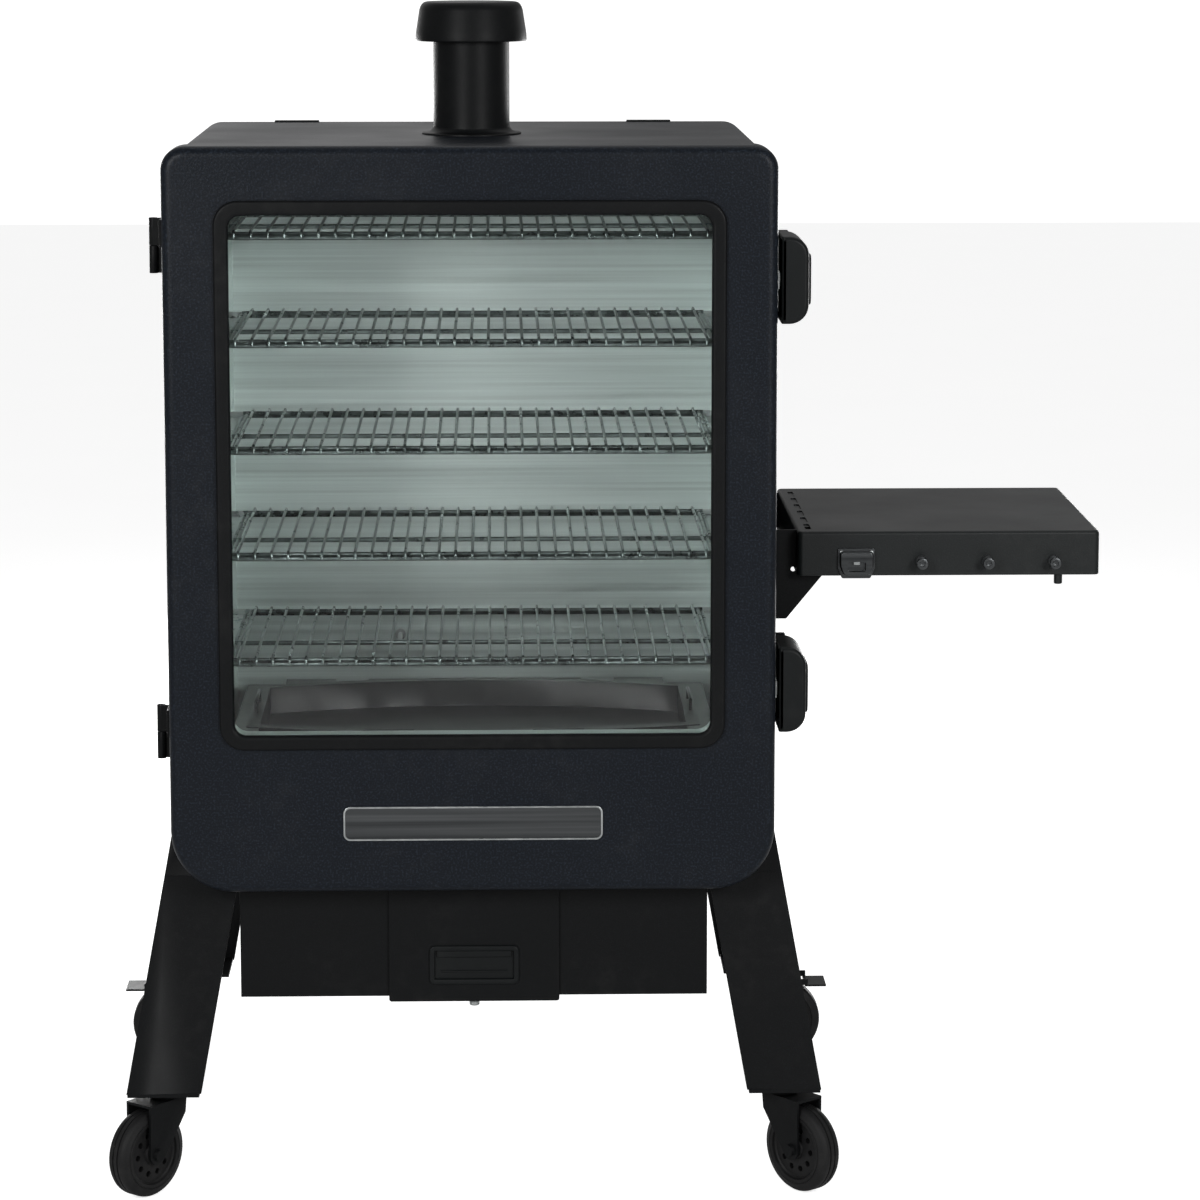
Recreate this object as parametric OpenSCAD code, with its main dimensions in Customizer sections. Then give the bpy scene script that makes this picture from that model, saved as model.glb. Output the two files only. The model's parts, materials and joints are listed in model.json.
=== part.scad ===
// Cabinet smoker on a caster stand: insulated cabinet with a glazed door, five wire racks,
// a flue with an adjustable cap, a side shelf, a grease drawer and four splayed legs.
// Millimetres, +Z up, the door faces -Y. Sizes inside place() are measured from the cabinet's
// centre plane (x), the door's front face (y) and the floor (z).

/* [Cabinet] */
// Outside width of the cabinet shell
cab_w = 692; // [600:1:800]
// Height of the shell's underside above the floor
cab_bottom = 380; // [340:1:440]
// Height of the shell's top above the floor
cab_top = 1231; // [1100:1:1400]
// Distance from the door's front face to the back of the cabinet
cab_rear = 600; // [540:1:720]
// Corner radius of the shell at the top
top_r = 27; // [10:1:40]
// Corner radius of the shell at the bottom
bottom_r = 60; // [20:1:80]
// Sheet thickness of the shell and the back panel
shell_t = 1.5; // [1:0.1:3]
// Thickness of the insulated side walls
side_wall = 40; // [30:1:60]
// Thickness of the insulated top wall
top_wall = 42; // [30:1:60]
// Thickness of the insulated bottom wall
bottom_wall = 50; // [30:1:70]
// Thickness of the insulated back wall
back_wall = 44; // [34:1:70]
// Sheet thickness of the inner liner
liner_t = 1; // [0.8:0.1:2]
// Corner radius of the cooking chamber
liner_r = 12; // [5:1:30]

/* [Door] */
// How far the door reaches past each side of the shell
door_over = 4; // [0:1:15]
// How far the door reaches below the shell
door_drop = 8; // [0:1:20]
// How far the door reaches above the shell
door_rise = 5; // [0:1:10]
// Door thickness
door_t = 46; // [30:1:70]
// Gap between the closed door and the shell
door_gap = 4; // [3:0.5:8]
// Door corner radius at the top
door_top_r = 28; // [10:1:40]
// Door corner radius at the bottom
door_bot_r = 72; // [20:1:100]
// Sheet thickness of the door skins
skin_t = 1.5; // [1:0.1:3]
// Width of the door left beside the window frame
frame_side = 59; // [45:1:110]
// Window frame bar width
frame_bar = 17; // [10:1:30]
// Bottom of the window frame above the door's bottom edge
frame_low = 170; // [60:1:300]
// Top of the window frame below the door's top edge
frame_high = 61; // [30:1:100]
// How far the window frame stands out of the door
frame_out = 6; // [2:0.5:12]
// Window frame outside corner radius
frame_r = 28; // [15:1:40]
// Glass thickness
glass_t = 5; // [4:0.5:8]
// How far the glass reaches behind the frame
glass_lap = 6; // [4:0.5:8]

/* [Racks] */
// Number of racks
racks = 5; // [5:1:5]
// Height of the lowest rack's top above the chamber's floor
rack_floor = 202; // [170:1:260]
// Room above the highest rack
rack_head = 55; // [30:1:90]
// Gap between the racks and the chamber's side walls
rack_side = 16; // [8:1:20]
// Gap between the racks and the chamber's back wall
rack_back = 106; // [40:1:160]
// Distance from the shell's front to the front of the racks
rack_in = 50; // [45:1:70]
// Cross wire thickness
wire_d = 3.6; // [3:0.1:5]
// Rack rail thickness
rail_d = 5.6; // [4:0.1:8]
// Cross wires per rack
wires = 29; // [15:1:35]
// How far the wires bend down at the front and back
rack_lip = 9; // [7:0.5:15]

/* [Flue] */
// Outside radius of the flue pipe
flue_r = 46; // [35:1:60]
// Distance from the door's front face to the flue centre
flue_y = 330; // [250:1:400]
// Height of the flue pipe above the shell
flue_h = 119; // [80:1:200]
// How far the cap reaches past the flue pipe all round
cap_over = 21; // [12:1:35]
// Height of the cap
cap_h = 47; // [30:1:70]

/* [Shelf] */
// Height of the shelf top above the floor
shelf_z = 770; // [600:1:900]
// Distance from the shell's side to the shelf
shelf_gap = 39; // [10:1:60]
// Shelf length sideways
shelf_w = 360; // [250:1:450]
// Shelf depth front to back
shelf_d = 355; // [250:1:450]
// Distance from the door's front face to the shelf's front
shelf_y = 150; // [100:1:200]
// Depth of the shelf's turned-down edges
shelf_edge = 53; // [30:1:70]

/* [Stand] */
// Sideways splay of the legs in degrees
splay_x = 10.2; // [0:0.1:14]
// Fore and aft splay of the legs in degrees
splay_y = 8.5; // [0:0.1:12]
// Width of each leg's faces
leg_w = 86; // [60:1:110]
// Sheet thickness of the legs
leg_t = 2; // [1.5:0.1:4]
// Gap between the tops of the wheels and the legs' lower ends
leg_clear = 23; // [20:1:40]
// Height of the legs' upper ends above the shell's underside
leg_lap = 60; // [30:1:80]
// How far the legs' lower ends reach past each side of the shell
stance_side = 62; // [40:1:90]
// How far the legs' lower ends reach in front of the shell's front
stance_out = 32; // [20:1:60]
// How far the skirt stands in from each side of the shell
skirt_in = 71; // [60:1:120]
// Height of the skirt
skirt_h = 149; // [100:1:180]

/* [Drawer] */
// Drawer front width
drawer_w = 201; // [150:1:300]
// Drawer front height
drawer_h = 146; // [100:1:160]
// Drawer depth
drawer_d = 320; // [200:1:450]

/* [Casters] */
// Wheel radius
wheel_r = 51.5; // [40:0.5:60]
// Wheel width
wheel_w = 30; // [20:1:40]
// Offset from the swivel's centre to the axle
trail = 35; // [25:1:45]
// Turn of the front casters from straight sideways, in degrees
front_turn = 50; // [0:1:90]

/* [Hidden] */
$fn = 48;
run = 0.05;
fit = 0.3;
body_front = door_t + door_gap;
door_w = cab_w + 2 * door_over;
frame_w = door_w - 2 * frame_side;
cav_w = cab_w - 2 * side_wall;
cav_z0 = cab_bottom + bottom_wall;
cav_z1 = cab_top - top_wall;
cav_rear = cab_rear - back_wall;
door_z0 = cab_bottom - door_drop;
door_z1 = cab_top + door_rise;
win_z0 = door_z0 + frame_low;
win_z1 = door_z1 - frame_high;
in_w = frame_w - 2 * frame_bar;
in_z0 = win_z0 + frame_bar;
in_z1 = win_z1 - frame_bar;
in_r = frame_r - frame_bar + 3;
rack_w = cav_w - 2 * rack_side;
rack_low = cav_z0 + rack_floor;
rack_step = (cav_z1 - rack_head - rack_low) / (racks - 1);
rack_y0 = body_front + rack_in;
rack_y1 = cav_rear - rack_back;
rack_d = rack_y1 - rack_y0;
cap_r = flue_r + cap_over;
flue_top = cab_top + flue_h;
cap_z = flue_top - 7;
shelf_x = cab_w / 2 + shelf_gap;
bracket_y = 25;
leg_bottom = 2 * wheel_r + leg_clear;
stance_w = cab_w + 2 * stance_side;
skirt_half = cab_w / 2 - skirt_in;
leg_x = -stance_w / 2;
leg_y = body_front - stance_out;
leg_rise = cab_bottom - leg_bottom;
stand_mid = (body_front + cab_rear) / 2;
pin_x = leg_x + leg_w / 2;
pin_y = leg_y + leg_w / 2;
hinge_x = -door_w / 2 - 12;
hinge_y = door_t + door_gap / 2;
hinge_hi = door_z1 - 115;
hinge_lo = door_z0 + 183;
latch_x = door_w / 2 + 12;
latch_y = body_front + 50;
latch_hi = door_z1 - 154;
latch_lo = door_z0 + 235;
pan_z = rack_low - 86;
skirt_y = body_front + 12;
drawer_z = cab_bottom - 9 - drawer_h;
housing_d = 70;
pedal_tip = 94;
pedal_x = 40;
frame_x = (shelf_x + shelf_w - (stance_w / 2 - leg_w / 2 + pedal_tip)) / 2;
tread_edge = 7;
wheel_front = pin_y - (trail + wheel_r) * sin(front_turn) - (wheel_w / 2 - tread_edge) * cos(front_turn);
knob_out = 16.5;
frame_y = (cab_rear + housing_d + knob_out + wheel_front) / 2;
enamel = [0.11, 0.12, 0.15];
satin = [0.1, 0.1, 0.11];
steel = [0.7, 0.72, 0.72];
rubber = [0.07, 0.07, 0.07];

// Everything is built around the cabinet and moved once to the frame
module place() translate([-frame_x, -frame_y, 0]) children();
// A flat (x, z) outline swept from y0 back to y1
module sweep(y0, y1) translate([0, y1, 0]) rotate([90, 0, 0]) linear_extrude(y1 - y0) children();
// Rectangle w wide from z0 to z1 with its own corner radii at the top and bottom
module outline(w, z0, z1, rt, rb) {
  for (s = [-1, 1]) {
    translate([s * (w / 2 - rt), z1 - rt]) circle(rt);
    translate([s * (w / 2 - rb), z0 + rb]) circle(rb);
  }
  translate([-w / 2 + rt, z1 - rt]) square([w - 2 * rt, rt]);
  translate([-w / 2 + rb, z0]) square([w - 2 * rb, rb]);
  translate([-w / 2, z0 + rb]) square([w, z1 - z0 - rt - rb]);
}
module shell_line(d) outline(cab_w - 2 * d, cab_bottom + d, cab_top - d, top_r - d, bottom_r - d);
module cav_line(d) outline(cav_w + 2 * d, cav_z0 - d, cav_z1 + d, liner_r + d, liner_r + d);
module door_line(d)
  outline(door_w - 2 * d, door_z0 + d, door_z1 - d, door_top_r - d, door_bot_r - d);
module glass_line(d) outline(in_w + 2 * d, in_z0 - d, in_z1 + d, in_r + d, in_r + d);

// ---- cabinet ----
bolt_x = cab_w / 2 - 84;
bolt_step = 34;
bolt_reach = (cab_rear - body_front) / 2 - bolt_step;
module bolt_spots() for (s = [-1, 1], e = [-1, 1], k = [0, 1])
  translate([s * bolt_x, stand_mid + e * (bolt_reach - bolt_step * k), cab_bottom]) children();
module leads() for (x = [-60, 60]) translate([x, 0, element_z]) rotate([-90, 0, 0]) children();
element_z = cav_z0 + 36;
drain_r = 16;
drain_y = skirt_y + 120;
probe_z = cav_z0 + 145;
probe_x = -96;

module outer_shell() color(enamel) place() difference() {
  union() {
    sweep(body_front, cab_rear) difference() { shell_line(0); shell_line(shell_t); }
    sweep(body_front, body_front + shell_t) difference() { shell_line(0); cav_line(0); }
  }
  translate([0, flue_y, cab_top - top_wall / 2]) cylinder(h = top_wall, r = flue_r + fit);
  translate([0, drain_y, cab_bottom - 5]) cylinder(h = 10, r = drain_r + fit);
  bolt_spots() translate([0, 0, -1]) cylinder(h = 4, r = 4);
}
module liner() color(steel) place() difference() {
  union() {
    sweep(body_front + shell_t, cav_rear) difference() { cav_line(liner_t); cav_line(0); }
    sweep(body_front + shell_t, body_front + shell_t + liner_t)
      difference() { cav_line(18); cav_line(0); }
    sweep(cav_rear, cav_rear + liner_t) cav_line(liner_t);
    translate([0, drain_y, cab_bottom - 12]) cylinder(h = cav_z0 - cab_bottom + 11.5, r = drain_r);
  }
  translate([0, drain_y, cab_bottom - 13]) cylinder(h = cav_z0 - cab_bottom + 20, r = drain_r - 1.5);
  translate([0, flue_y, cav_z1 - 10]) cylinder(h = 30, r = flue_r + fit);
  translate([0, cav_rear - 10, 0]) leads() cylinder(h = 30, r = 8 + fit);
  translate([probe_x, cav_rear - 10, probe_z]) rotate([-90, 0, 0]) cylinder(h = 30, r = 3 + fit);
}
module insulation() color([0.85, 0.82, 0.72]) place() difference() {
  sweep(body_front + shell_t + liner_t + 1, cab_rear - shell_t - 0.5) shell_line(shell_t + 1);
  sweep(body_front, cav_rear + liner_t + 0.5) cav_line(liner_t + 1);
  translate([0, flue_y, cav_z1 - 10]) cylinder(h = 100, r = flue_r + 2);
  translate([0, drain_y, cab_bottom - 5]) cylinder(h = bottom_wall + 10, r = drain_r + 2);
  translate([0, cav_rear - 10, 0]) leads() cylinder(h = 80, r = 10);
  translate([probe_x, cav_rear - 10, probe_z]) rotate([-90, 0, 0]) cylinder(h = 80, r = 5);
}
module back_panel() color(satin) place() difference() {
  sweep(cab_rear - shell_t, cab_rear) shell_line(shell_t);
  translate([0, cab_rear - 10, 0]) leads() cylinder(h = 30, r = 8 + fit);
  translate([probe_x, cab_rear - 10, probe_z]) rotate([-90, 0, 0]) cylinder(h = 30, r = 3 + fit);
}
module door_gasket() color([0.3, 0.3, 0.3]) place()
  sweep(door_t + fit, body_front) difference() { cav_line(17); cav_line(5); }

// Rack supports: two posts and a ledge for each rack on each side
ledge_w = 22;
module rack_support() {
  for (y = [rack_y0 + 30, rack_y1 - 50])
    translate([cav_w / 2 - 3, y, cav_z0 + 130]) cube([3, 20, cav_z1 - cav_z0 - 150]);
  for (i = [0 : racks - 1]) translate([cav_w / 2 - ledge_w, rack_y0 - 40, ledge_top(i) - 2]) {
    cube([ledge_w - 1, rack_d + 44, 2]);
    translate([ledge_w - 3, 0, -12]) cube([2, rack_d + 44, 13]);
    translate([0, rack_d + 42, 0]) cube([ledge_w - 1, 2, 9]);
  }
}
function ledge_top(i) = rack_low + i * rack_step - rack_lip - wire_d - 0.2;
module rack_rails() color(steel) place() for (m = [0, 1]) mirror([m, 0, 0]) rack_support();

// One wire rack: cross wires turned down at both ends over rails that run sideways
module wire_row(y0, y1, z0, z1) for (k = [0 : wires - 1])
  translate([(k - (wires - 1) / 2) * (rack_w - 31.2) / (wires - 1) - wire_d / 2, y0, z0])
    cube([wire_d, y1 - y0, z1 - z0]);
module rail(y, z) translate([-rack_w / 2, y, z]) cube([rack_w, rail_d, rail_d]);
module rack(i) {
  z = rack_low + i * rack_step;
  sunk = 0.8;
  color([0.55, 0.6, 0.6]) place() {
    wire_row(rack_y0, rack_y1, z - wire_d, z);
    wire_row(rack_y0, rack_y0 + wire_d, z - wire_d - rack_lip, z);
    wire_row(rack_y1 - wire_d, rack_y1, z - wire_d - rack_lip, z);
    for (y = [rack_y0 + wire_d - sunk, rack_y1 - wire_d - rail_d + sunk])
      rail(y, z - wire_d - rack_lip);
    for (y = [rack_y0 + 11, rack_y0 + rack_d * 0.34, rack_y1 - 11 - rail_d])
      rail(y, z - wire_d - rail_d + sunk);
    for (s = [-1, 1])
      translate([s * (rack_w - rail_d) / 2 - rail_d / 2, rack_y0 + wire_d - sunk, z - wire_d - rack_lip])
        cube([rail_d, rack_d - 2 * wire_d + 2 * sunk, rack_lip - 0.2]);
  }
}
module rack_1() rack(4);
module rack_2() rack(3);
module rack_3() rack(2);
module rack_4() rack(1);
module rack_5() rack(0);

// ---- heat and drippings ----
module heating_element() color([0.45, 0.4, 0.38]) place() {
  reach = 300;
  for (s = [-1, 1]) {
    translate([s * 60, cav_rear - reach, element_z]) rotate([-90, 0, 0])
      cylinder(h = reach + back_wall + 14, d = 8);
    translate([s * 60, cav_rear + back_wall - 2, element_z]) rotate([-90, 0, 0]) cylinder(h = 10, r = 8);
    translate([s * 60, cav_rear - 4, element_z]) rotate([-90, 0, 0]) cylinder(h = 4, r = 12);
    translate([s * 100, cav_rear - reach, element_z]) mirror([0, 1, 0]) rotate_extrude(angle = 180)
      translate([40, 0]) circle(d = 8);
    translate([s * 140, cav_rear - reach, element_z]) rotate([-90, 0, 0]) cylinder(h = 100, d = 8);
  }
  translate([0, cav_rear - reach + 100, element_z]) rotate_extrude(angle = 180)
    translate([140, 0]) circle(d = 8);
}
// Louvred plate over the element, standing on folded sides
deflector_z = pan_z - 36.3;
louvre_step = (cav_w - 92) / 5;
chip_rim = element_z + 6 + 24.5;
module heat_deflector() color([0.2, 0.21, 0.22]) place() {
  half = cav_w / 2 - liner_r - 2;
  difference() {
    translate([-half, body_front + 20, deflector_z]) cube([2 * half, cav_rear - body_front - 34, 2]);
    for (x = [-1.5 : 1.5])
      translate([x * louvre_step - 20, cav_rear - 130, deflector_z - 1]) cube([40, 60, 4]);
    translate([0, drain_y, deflector_z - 1]) cylinder(h = 4, r = 12);
  }
  for (s = [-1, 1]) translate([s * half - 1, body_front + 20, cav_z0])
    cube([2, cav_rear - body_front - 34, deflector_z - cav_z0 + 1]);
  for (s = [-1, 1]) {
    translate([s * 102 - 1, body_front + 58, chip_rim - 2.3]) cube([2, 134, deflector_z - chip_rim + 3]);
    translate([s * 97 - 6, body_front + 58, chip_rim - 2.3]) cube([12, 134, 2]);
  }
  for (x = [-2 : 2]) translate([x * louvre_step - 31, cav_rear - 128, deflector_z + 1]) {
    cube([62, 2, 20]);
    translate([0, 0, 18]) cube([62, 52, 2]);
    translate([0, 50, 0]) cube([62, 2, 20]);
  }
}
pan_half = cav_w / 2 - 38;
pan_front = body_front + 26;
pan_back = cav_rear - pan_front - 150;
bow_front = 960;
bow_back = 760;
// Pan plan: straight sides with bowed front and back edges
module pan_plan(d) intersection() {
  translate([-pan_half + d, pan_front - 20]) square([2 * pan_half - 2 * d, pan_back + 60]);
  translate([0, pan_front + bow_front]) circle(r = bow_front - d, $fn = 96);
  translate([0, pan_front + pan_back - bow_back]) circle(r = bow_back - d, $fn = 96);
}
module drip_pan() color([0.08, 0.09, 0.1]) place() {
  difference() {
    translate([0, 0, pan_z - 34]) linear_extrude(34) pan_plan(14);
    translate([0, 0, pan_z - 32.5]) linear_extrude(40) pan_plan(15.5);
  }
  difference() {
    translate([0, 0, pan_z - 1.5]) linear_extrude(1.5) pan_plan(0);
    translate([0, 0, pan_z - 5]) linear_extrude(10) pan_plan(15);
    for (x = [-100, 0, 100])
      translate([x - 30, pan_front + 6 + x * x / (2 * bow_front), pan_z - 5]) cube([60, 4, 10]);
  }
  for (s = [-1, 1]) translate([s * (pan_half - 7), pan_front + 120, pan_z - 1]) {
    for (y = [0, 70]) translate([0, y, 0]) cylinder(h = 14, d = 4);
    translate([0, -2, 14]) rotate([-90, 0, 0]) cylinder(h = 74, d = 4);
  }
}
module chip_tray() color([0.3, 0.3, 0.3]) place() translate([-90, body_front + 60, element_z + 6]) {
  difference() {
    cube([180, 130, 26]);
    translate([1.5, 1.5, 1.5]) cube([177, 127, 30]);
  }
  translate([-10, 0, 24.5]) cube([11, 130, 1.5]);
  translate([179, 0, 24.5]) cube([11, 130, 1.5]);
  translate([70, -18, 10]) cube([40, 19, 3]);
}
module temperature_probe() color(steel) place() translate([probe_x, 0, probe_z]) rotate([-90, 0, 0]) {
  translate([0, 0, cav_rear - 60]) cylinder(h = 60 + back_wall + 10, r = 3);
  translate([0, 0, cav_rear - 5]) cylinder(h = 5, r = 7);
}

// ---- flue ----
module flue_pipe() color(satin) place() translate([0, flue_y, 0]) difference() {
  union() {
    translate([0, 0, cav_z1]) cylinder(h = flue_top - cav_z1, r = flue_r);
    translate([0, 0, cab_top]) cylinder(h = 2.5, r = flue_r + 14);
    translate([0, 0, cab_top]) cylinder(h = 8, r = flue_r + 3);
  }
  translate([0, 0, cav_z1 - 1]) cylinder(h = flue_top, r = flue_r - 1.5);
}
rod_r = 4;
module flue_spindle() color(steel) place() translate([0, flue_y, 0]) {
  intersection() {
    translate([-flue_r, -9, flue_top - 28]) cube([2 * flue_r, 18, 3]);
    translate([0, 0, flue_top - 30]) cylinder(h = 10, r = flue_r - 1.5);
  }
  translate([0, 0, flue_top - 34]) cylinder(h = 62, r = rod_r);
  translate([0, 0, flue_top - 34]) cylinder(h = 6, r = 7.5, $fn = 6);
}
module flue_cap() color(satin) place() translate([0, flue_y, cap_z]) difference() {
  union() {
    rotate_extrude() polygon([
      [0, cap_h], [cap_r - 13, cap_h], [cap_r - 7, cap_h - 3], [cap_r - 4, cap_h - 9],
      [cap_r, 14], [cap_r, 0], [cap_r - 1.5, 0], [cap_r - 1.5, 14], [cap_r - 6, cap_h - 9.5],
      [cap_r - 8, cap_h - 4], [cap_r - 13, cap_h - 1.5], [0, cap_h - 1.5]]);
    translate([0, 0, 9]) cylinder(h = cap_h - 10, r = 9);
  }
  translate([0, 0, -1]) cylinder(h = cap_h - 1, r = rod_r + run);
}

// ---- door ----
module door_outer_skin() color(enamel) place() difference() {
  sweep(0, door_t) door_line(0);
  sweep(skin_t, door_t + 1) door_line(skin_t);
  sweep(-1, skin_t + 1) glass_line(glass_lap + 3.5);
}
module door_inner_skin() color(steel) place() {
  sweep(door_t - skin_t, door_t) difference() { door_line(skin_t); glass_line(glass_lap - skin_t); }
  sweep(glass_t + 2, door_t) difference() {
    glass_line(glass_lap);
    glass_line(glass_lap - skin_t);
  }
}
module window_frame() color(satin) place() {
  sweep(-frame_out, 0) difference() {
    outline(frame_w, win_z0, win_z1, frame_r, frame_r);
    glass_line(0);
  }
  sweep(0, glass_t + 8) difference() {
    glass_line(glass_lap + 3);
    glass_line(glass_lap + 0.4);
  }
}
module glass_gasket() color([0.25, 0.25, 0.25]) place()
  sweep(0, 2) difference() { glass_line(glass_lap); glass_line(1); }
module window_glass() color([0.5, 0.55, 0.55, 0.4]) place() sweep(2, 2 + glass_t) glass_line(glass_lap);
badge_w = 300;
module name_badge() color(steel) place() sweep(-2, 0)
  outline(badge_w, door_z0 + 62, door_z0 + 102, 8, 8);

// Lift-off hinges: the shell's leaf carries the pin, the door's leaf drops over it
pin_r = 2.5;
module hinge_brackets() color(satin) place() for (z = [hinge_lo, hinge_hi]) translate([0, 0, z]) {
  translate([hinge_x, hinge_y, -32]) cylinder(h = 31.5, r = 5);
  translate([hinge_x, hinge_y, -32]) cylinder(h = 60, r = pin_r);
  translate([hinge_x, body_front, -32]) cube([-cab_w / 2 - hinge_x, 3, 31.5]);
  translate([-cab_w / 2 - 3, body_front, -32]) cube([3, 42, 31.5]);
}
module hinge_straps() color(satin) place() for (z = [hinge_lo, hinge_hi]) translate([0, 0, z]) difference() {
  union() {
    translate([hinge_x, hinge_y, 0]) cylinder(h = 31.5, r = 5);
    translate([hinge_x, door_t - 3, 0]) cube([-door_w / 2 - hinge_x, 3, 31.5]);
    translate([-door_w / 2 - 3, 12, 0]) cube([3, door_t - 12, 31.5]);
  }
  translate([hinge_x, hinge_y, -1]) cylinder(h = 40, r = pin_r + run);
}

// Side latches: each paddle turns on its base and closes beside a catch on the door's edge
module latch_bases() color(satin) place() for (z = [latch_lo, latch_hi]) translate([0, 0, z]) {
  translate([cab_w / 2, body_front + 8, -50]) cube([5, 54, 100]);
  for (s = [-50, 44]) translate([cab_w / 2 + 1, latch_y - 8, s]) cube([latch_x - cab_w / 2 + 4, 16, 6]);
  translate([latch_x, latch_y, -46]) cylinder(h = 92, r = 3);
}
// A paddle seen from the front: square towards the door, round away from it
paddle_r = 22;
paddle_gap = 4;
module paddle_face(d) difference() {
  union() {
    translate([door_w / 2, d - paddle_r - 28]) square([13, 2 * (paddle_r - d) + 56]);
    translate([door_w / 2 + 12, -28]) square([paddle_r - d + 1, 56]);
    for (s = [-1, 1]) translate([door_w / 2 + 13, s * 28]) circle(paddle_r - d);
  }
  translate([door_w / 2 - paddle_r, -100]) square([paddle_r + paddle_gap, 200]);
}
module paddle(z) color(satin) place() translate([0, 0, z]) difference() {
  union() {
    difference() {
      sweep(8, latch_y - 11) paddle_face(0);
      sweep(11, latch_y - 16) paddle_face(3);
    }
    translate([door_w / 2 + 33, 16, -29]) cube([5.5, latch_y - 36, 58]);
    translate([latch_x, latch_y, -43.5]) cylinder(h = 87, r = 8);
    translate([latch_x - 8, latch_y - 12, -43.5]) cube([16, 12, 87]);
  }
  translate([latch_x, latch_y, -60]) cylinder(h = 120, r = 3 + run);
}
module latch_paddle_upper() paddle(latch_hi);
module latch_paddle_lower() paddle(latch_lo);
module door_catches() color(steel) place() for (z = [latch_lo, latch_hi]) translate([door_w / 2, 0, z]) {
  translate([0, 14, -10]) cube([2, 28, 20]);
  translate([1, 22, -8]) cube([2.4, 6, 16]);
}

// ---- side shelf ----
slots = 6;
slot_step = (shelf_d - 40) / slots;
module shelf_top() color([0.2, 0.22, 0.23]) place() difference() {
  union() {
    difference() {
      translate([shelf_x, shelf_y, shelf_z - shelf_edge]) cube([shelf_w, shelf_d, shelf_edge]);
      translate([shelf_x - 1, shelf_y + 1.5, shelf_z - shelf_edge - 1])
        cube([shelf_w - 0.5, shelf_d - 3, shelf_edge - 0.5]);
    }
    translate([shelf_x + shelf_w - 48, shelf_y + 9, shelf_z - shelf_edge - 12])
      cylinder(h = shelf_edge + 11, r = 5);
  }
  for (k = [0 : slots - 1]) translate([shelf_x + 6, shelf_y + 20 + k * slot_step, shelf_z - 5])
    cube([10, slot_step - 8, 10]);
}
bracket_drop = 56;
bracket_z = shelf_z - shelf_edge - bracket_drop;
bracket_x = shelf_x + shelf_w * 0.66;
bracket_spots = [shelf_y + bracket_y, shelf_y + shelf_d - bracket_y - 3];
module shelf_brackets() color(satin) place() for (y = bracket_spots) {
  difference() {
    sweep(y, y + 3) polygon([
      [cab_w / 2, bracket_z], [cab_w / 2 + 28, bracket_z], [cab_w / 2 + 72, shelf_z - shelf_edge - 2],
      [bracket_x, shelf_z - 30], [bracket_x, shelf_z - 1.5], [cab_w / 2, shelf_z - 1.5]]);
    translate([cab_w / 2 + 36, y - 1, shelf_z - shelf_edge + 4]) rotate([-90, 0, 0]) cylinder(h = 5, r = 3);
  }
  translate([cab_w / 2, y, bracket_z]) cube([3, 22, shelf_edge + bracket_drop - 1.5]);
  translate([shelf_x + 2, y, shelf_z - 4.5]) cube([shelf_w * 0.62, 22, 3]);
}
opener_at = [shelf_x + 48, shelf_y, shelf_z - shelf_edge - 3];
module bottle_opener() color([0.35, 0.36, 0.36]) place() translate(opener_at) difference() {
  union() {
    translate([0, -2, 4]) cube([44, 2, 32]);
    translate([0, -10, 30]) cube([44, 9, 2]);
    translate([0, -10, 12]) cube([44, 2, 20]);
    translate([3, -2, 0]) cube([38, 2, 6]);
  }
  translate([14, -11, 16]) cube([16, 4, 6]);
}
hook_x = 147;
hook_step = 79;
module tool_hooks() color([0.4, 0.41, 0.41]) place() for (k = [0 : 2])
  translate([shelf_x + hook_x + k * hook_step, shelf_y, shelf_z - shelf_edge + 17]) rotate([90, 0, 0]) {
    cylinder(h = 20, r = 3);
    cylinder(h = 2, r = 7);
    translate([0, 0, 17]) cylinder(h = 3, r = 7);
  }

// ---- control housing on the back ----
housing_w = 240;
housing_z = cav_z0 - 10;
housing_h = 300;
knob_z = housing_z + 220;
module control_housing() color(satin) place() difference() {
  union() {
    translate([-housing_w / 2, cab_rear, housing_z]) cube([housing_w, housing_d, housing_h]);
    for (x = [-224, 224]) {
      translate([x - 28, cab_rear, housing_z + housing_h])
        cube([56, 3, cab_top + 2 - housing_z - housing_h]);
      translate([x - 28, cab_rear - 12, cab_top]) cube([56, 13, 2]);
      translate([x - 28, cab_rear, housing_z + housing_h - 40]) cube([56, 3, 41]);
    }
    translate([-252, cab_rear, housing_z + housing_h - 40]) cube([504, 3, 40]);
  }
  translate([-housing_w / 2 + 2, cab_rear - 1, housing_z + 2])
    cube([housing_w - 4, housing_d - 1, housing_h - 4]);
  for (k = [0 : 5])
    translate([-60, cab_rear + housing_d - 5, housing_z + 90 + k * 14]) cube([120, 10, 5]);
  translate([knob_x, cab_rear + housing_d - 10, knob_z]) rotate([-90, 0, 0]) cylinder(h = 20, r = 4 + run);
  translate([inlet_x, cab_rear + housing_d - 10, inlet_z]) cube([28, 20, 22]);
}
module control_board() color([0.1, 0.35, 0.2]) place() {
  translate([-90, cab_rear + housing_d - 24, knob_z - 60]) cube([180, 2, 90]);
  for (x = [-84, 84], z = [-54, 24])
    translate([x, cab_rear + housing_d - 22, knob_z + z]) rotate([-90, 0, 0]) cylinder(h = 20, r = 3);
  translate([-60, cab_rear + housing_d - 40, knob_z - 40]) cube([40, 17, 30]);
  translate([45, cab_rear + housing_d - 30, knob_z - 12]) cube([30, 7, 24]);
}
knob_x = 60;
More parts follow.
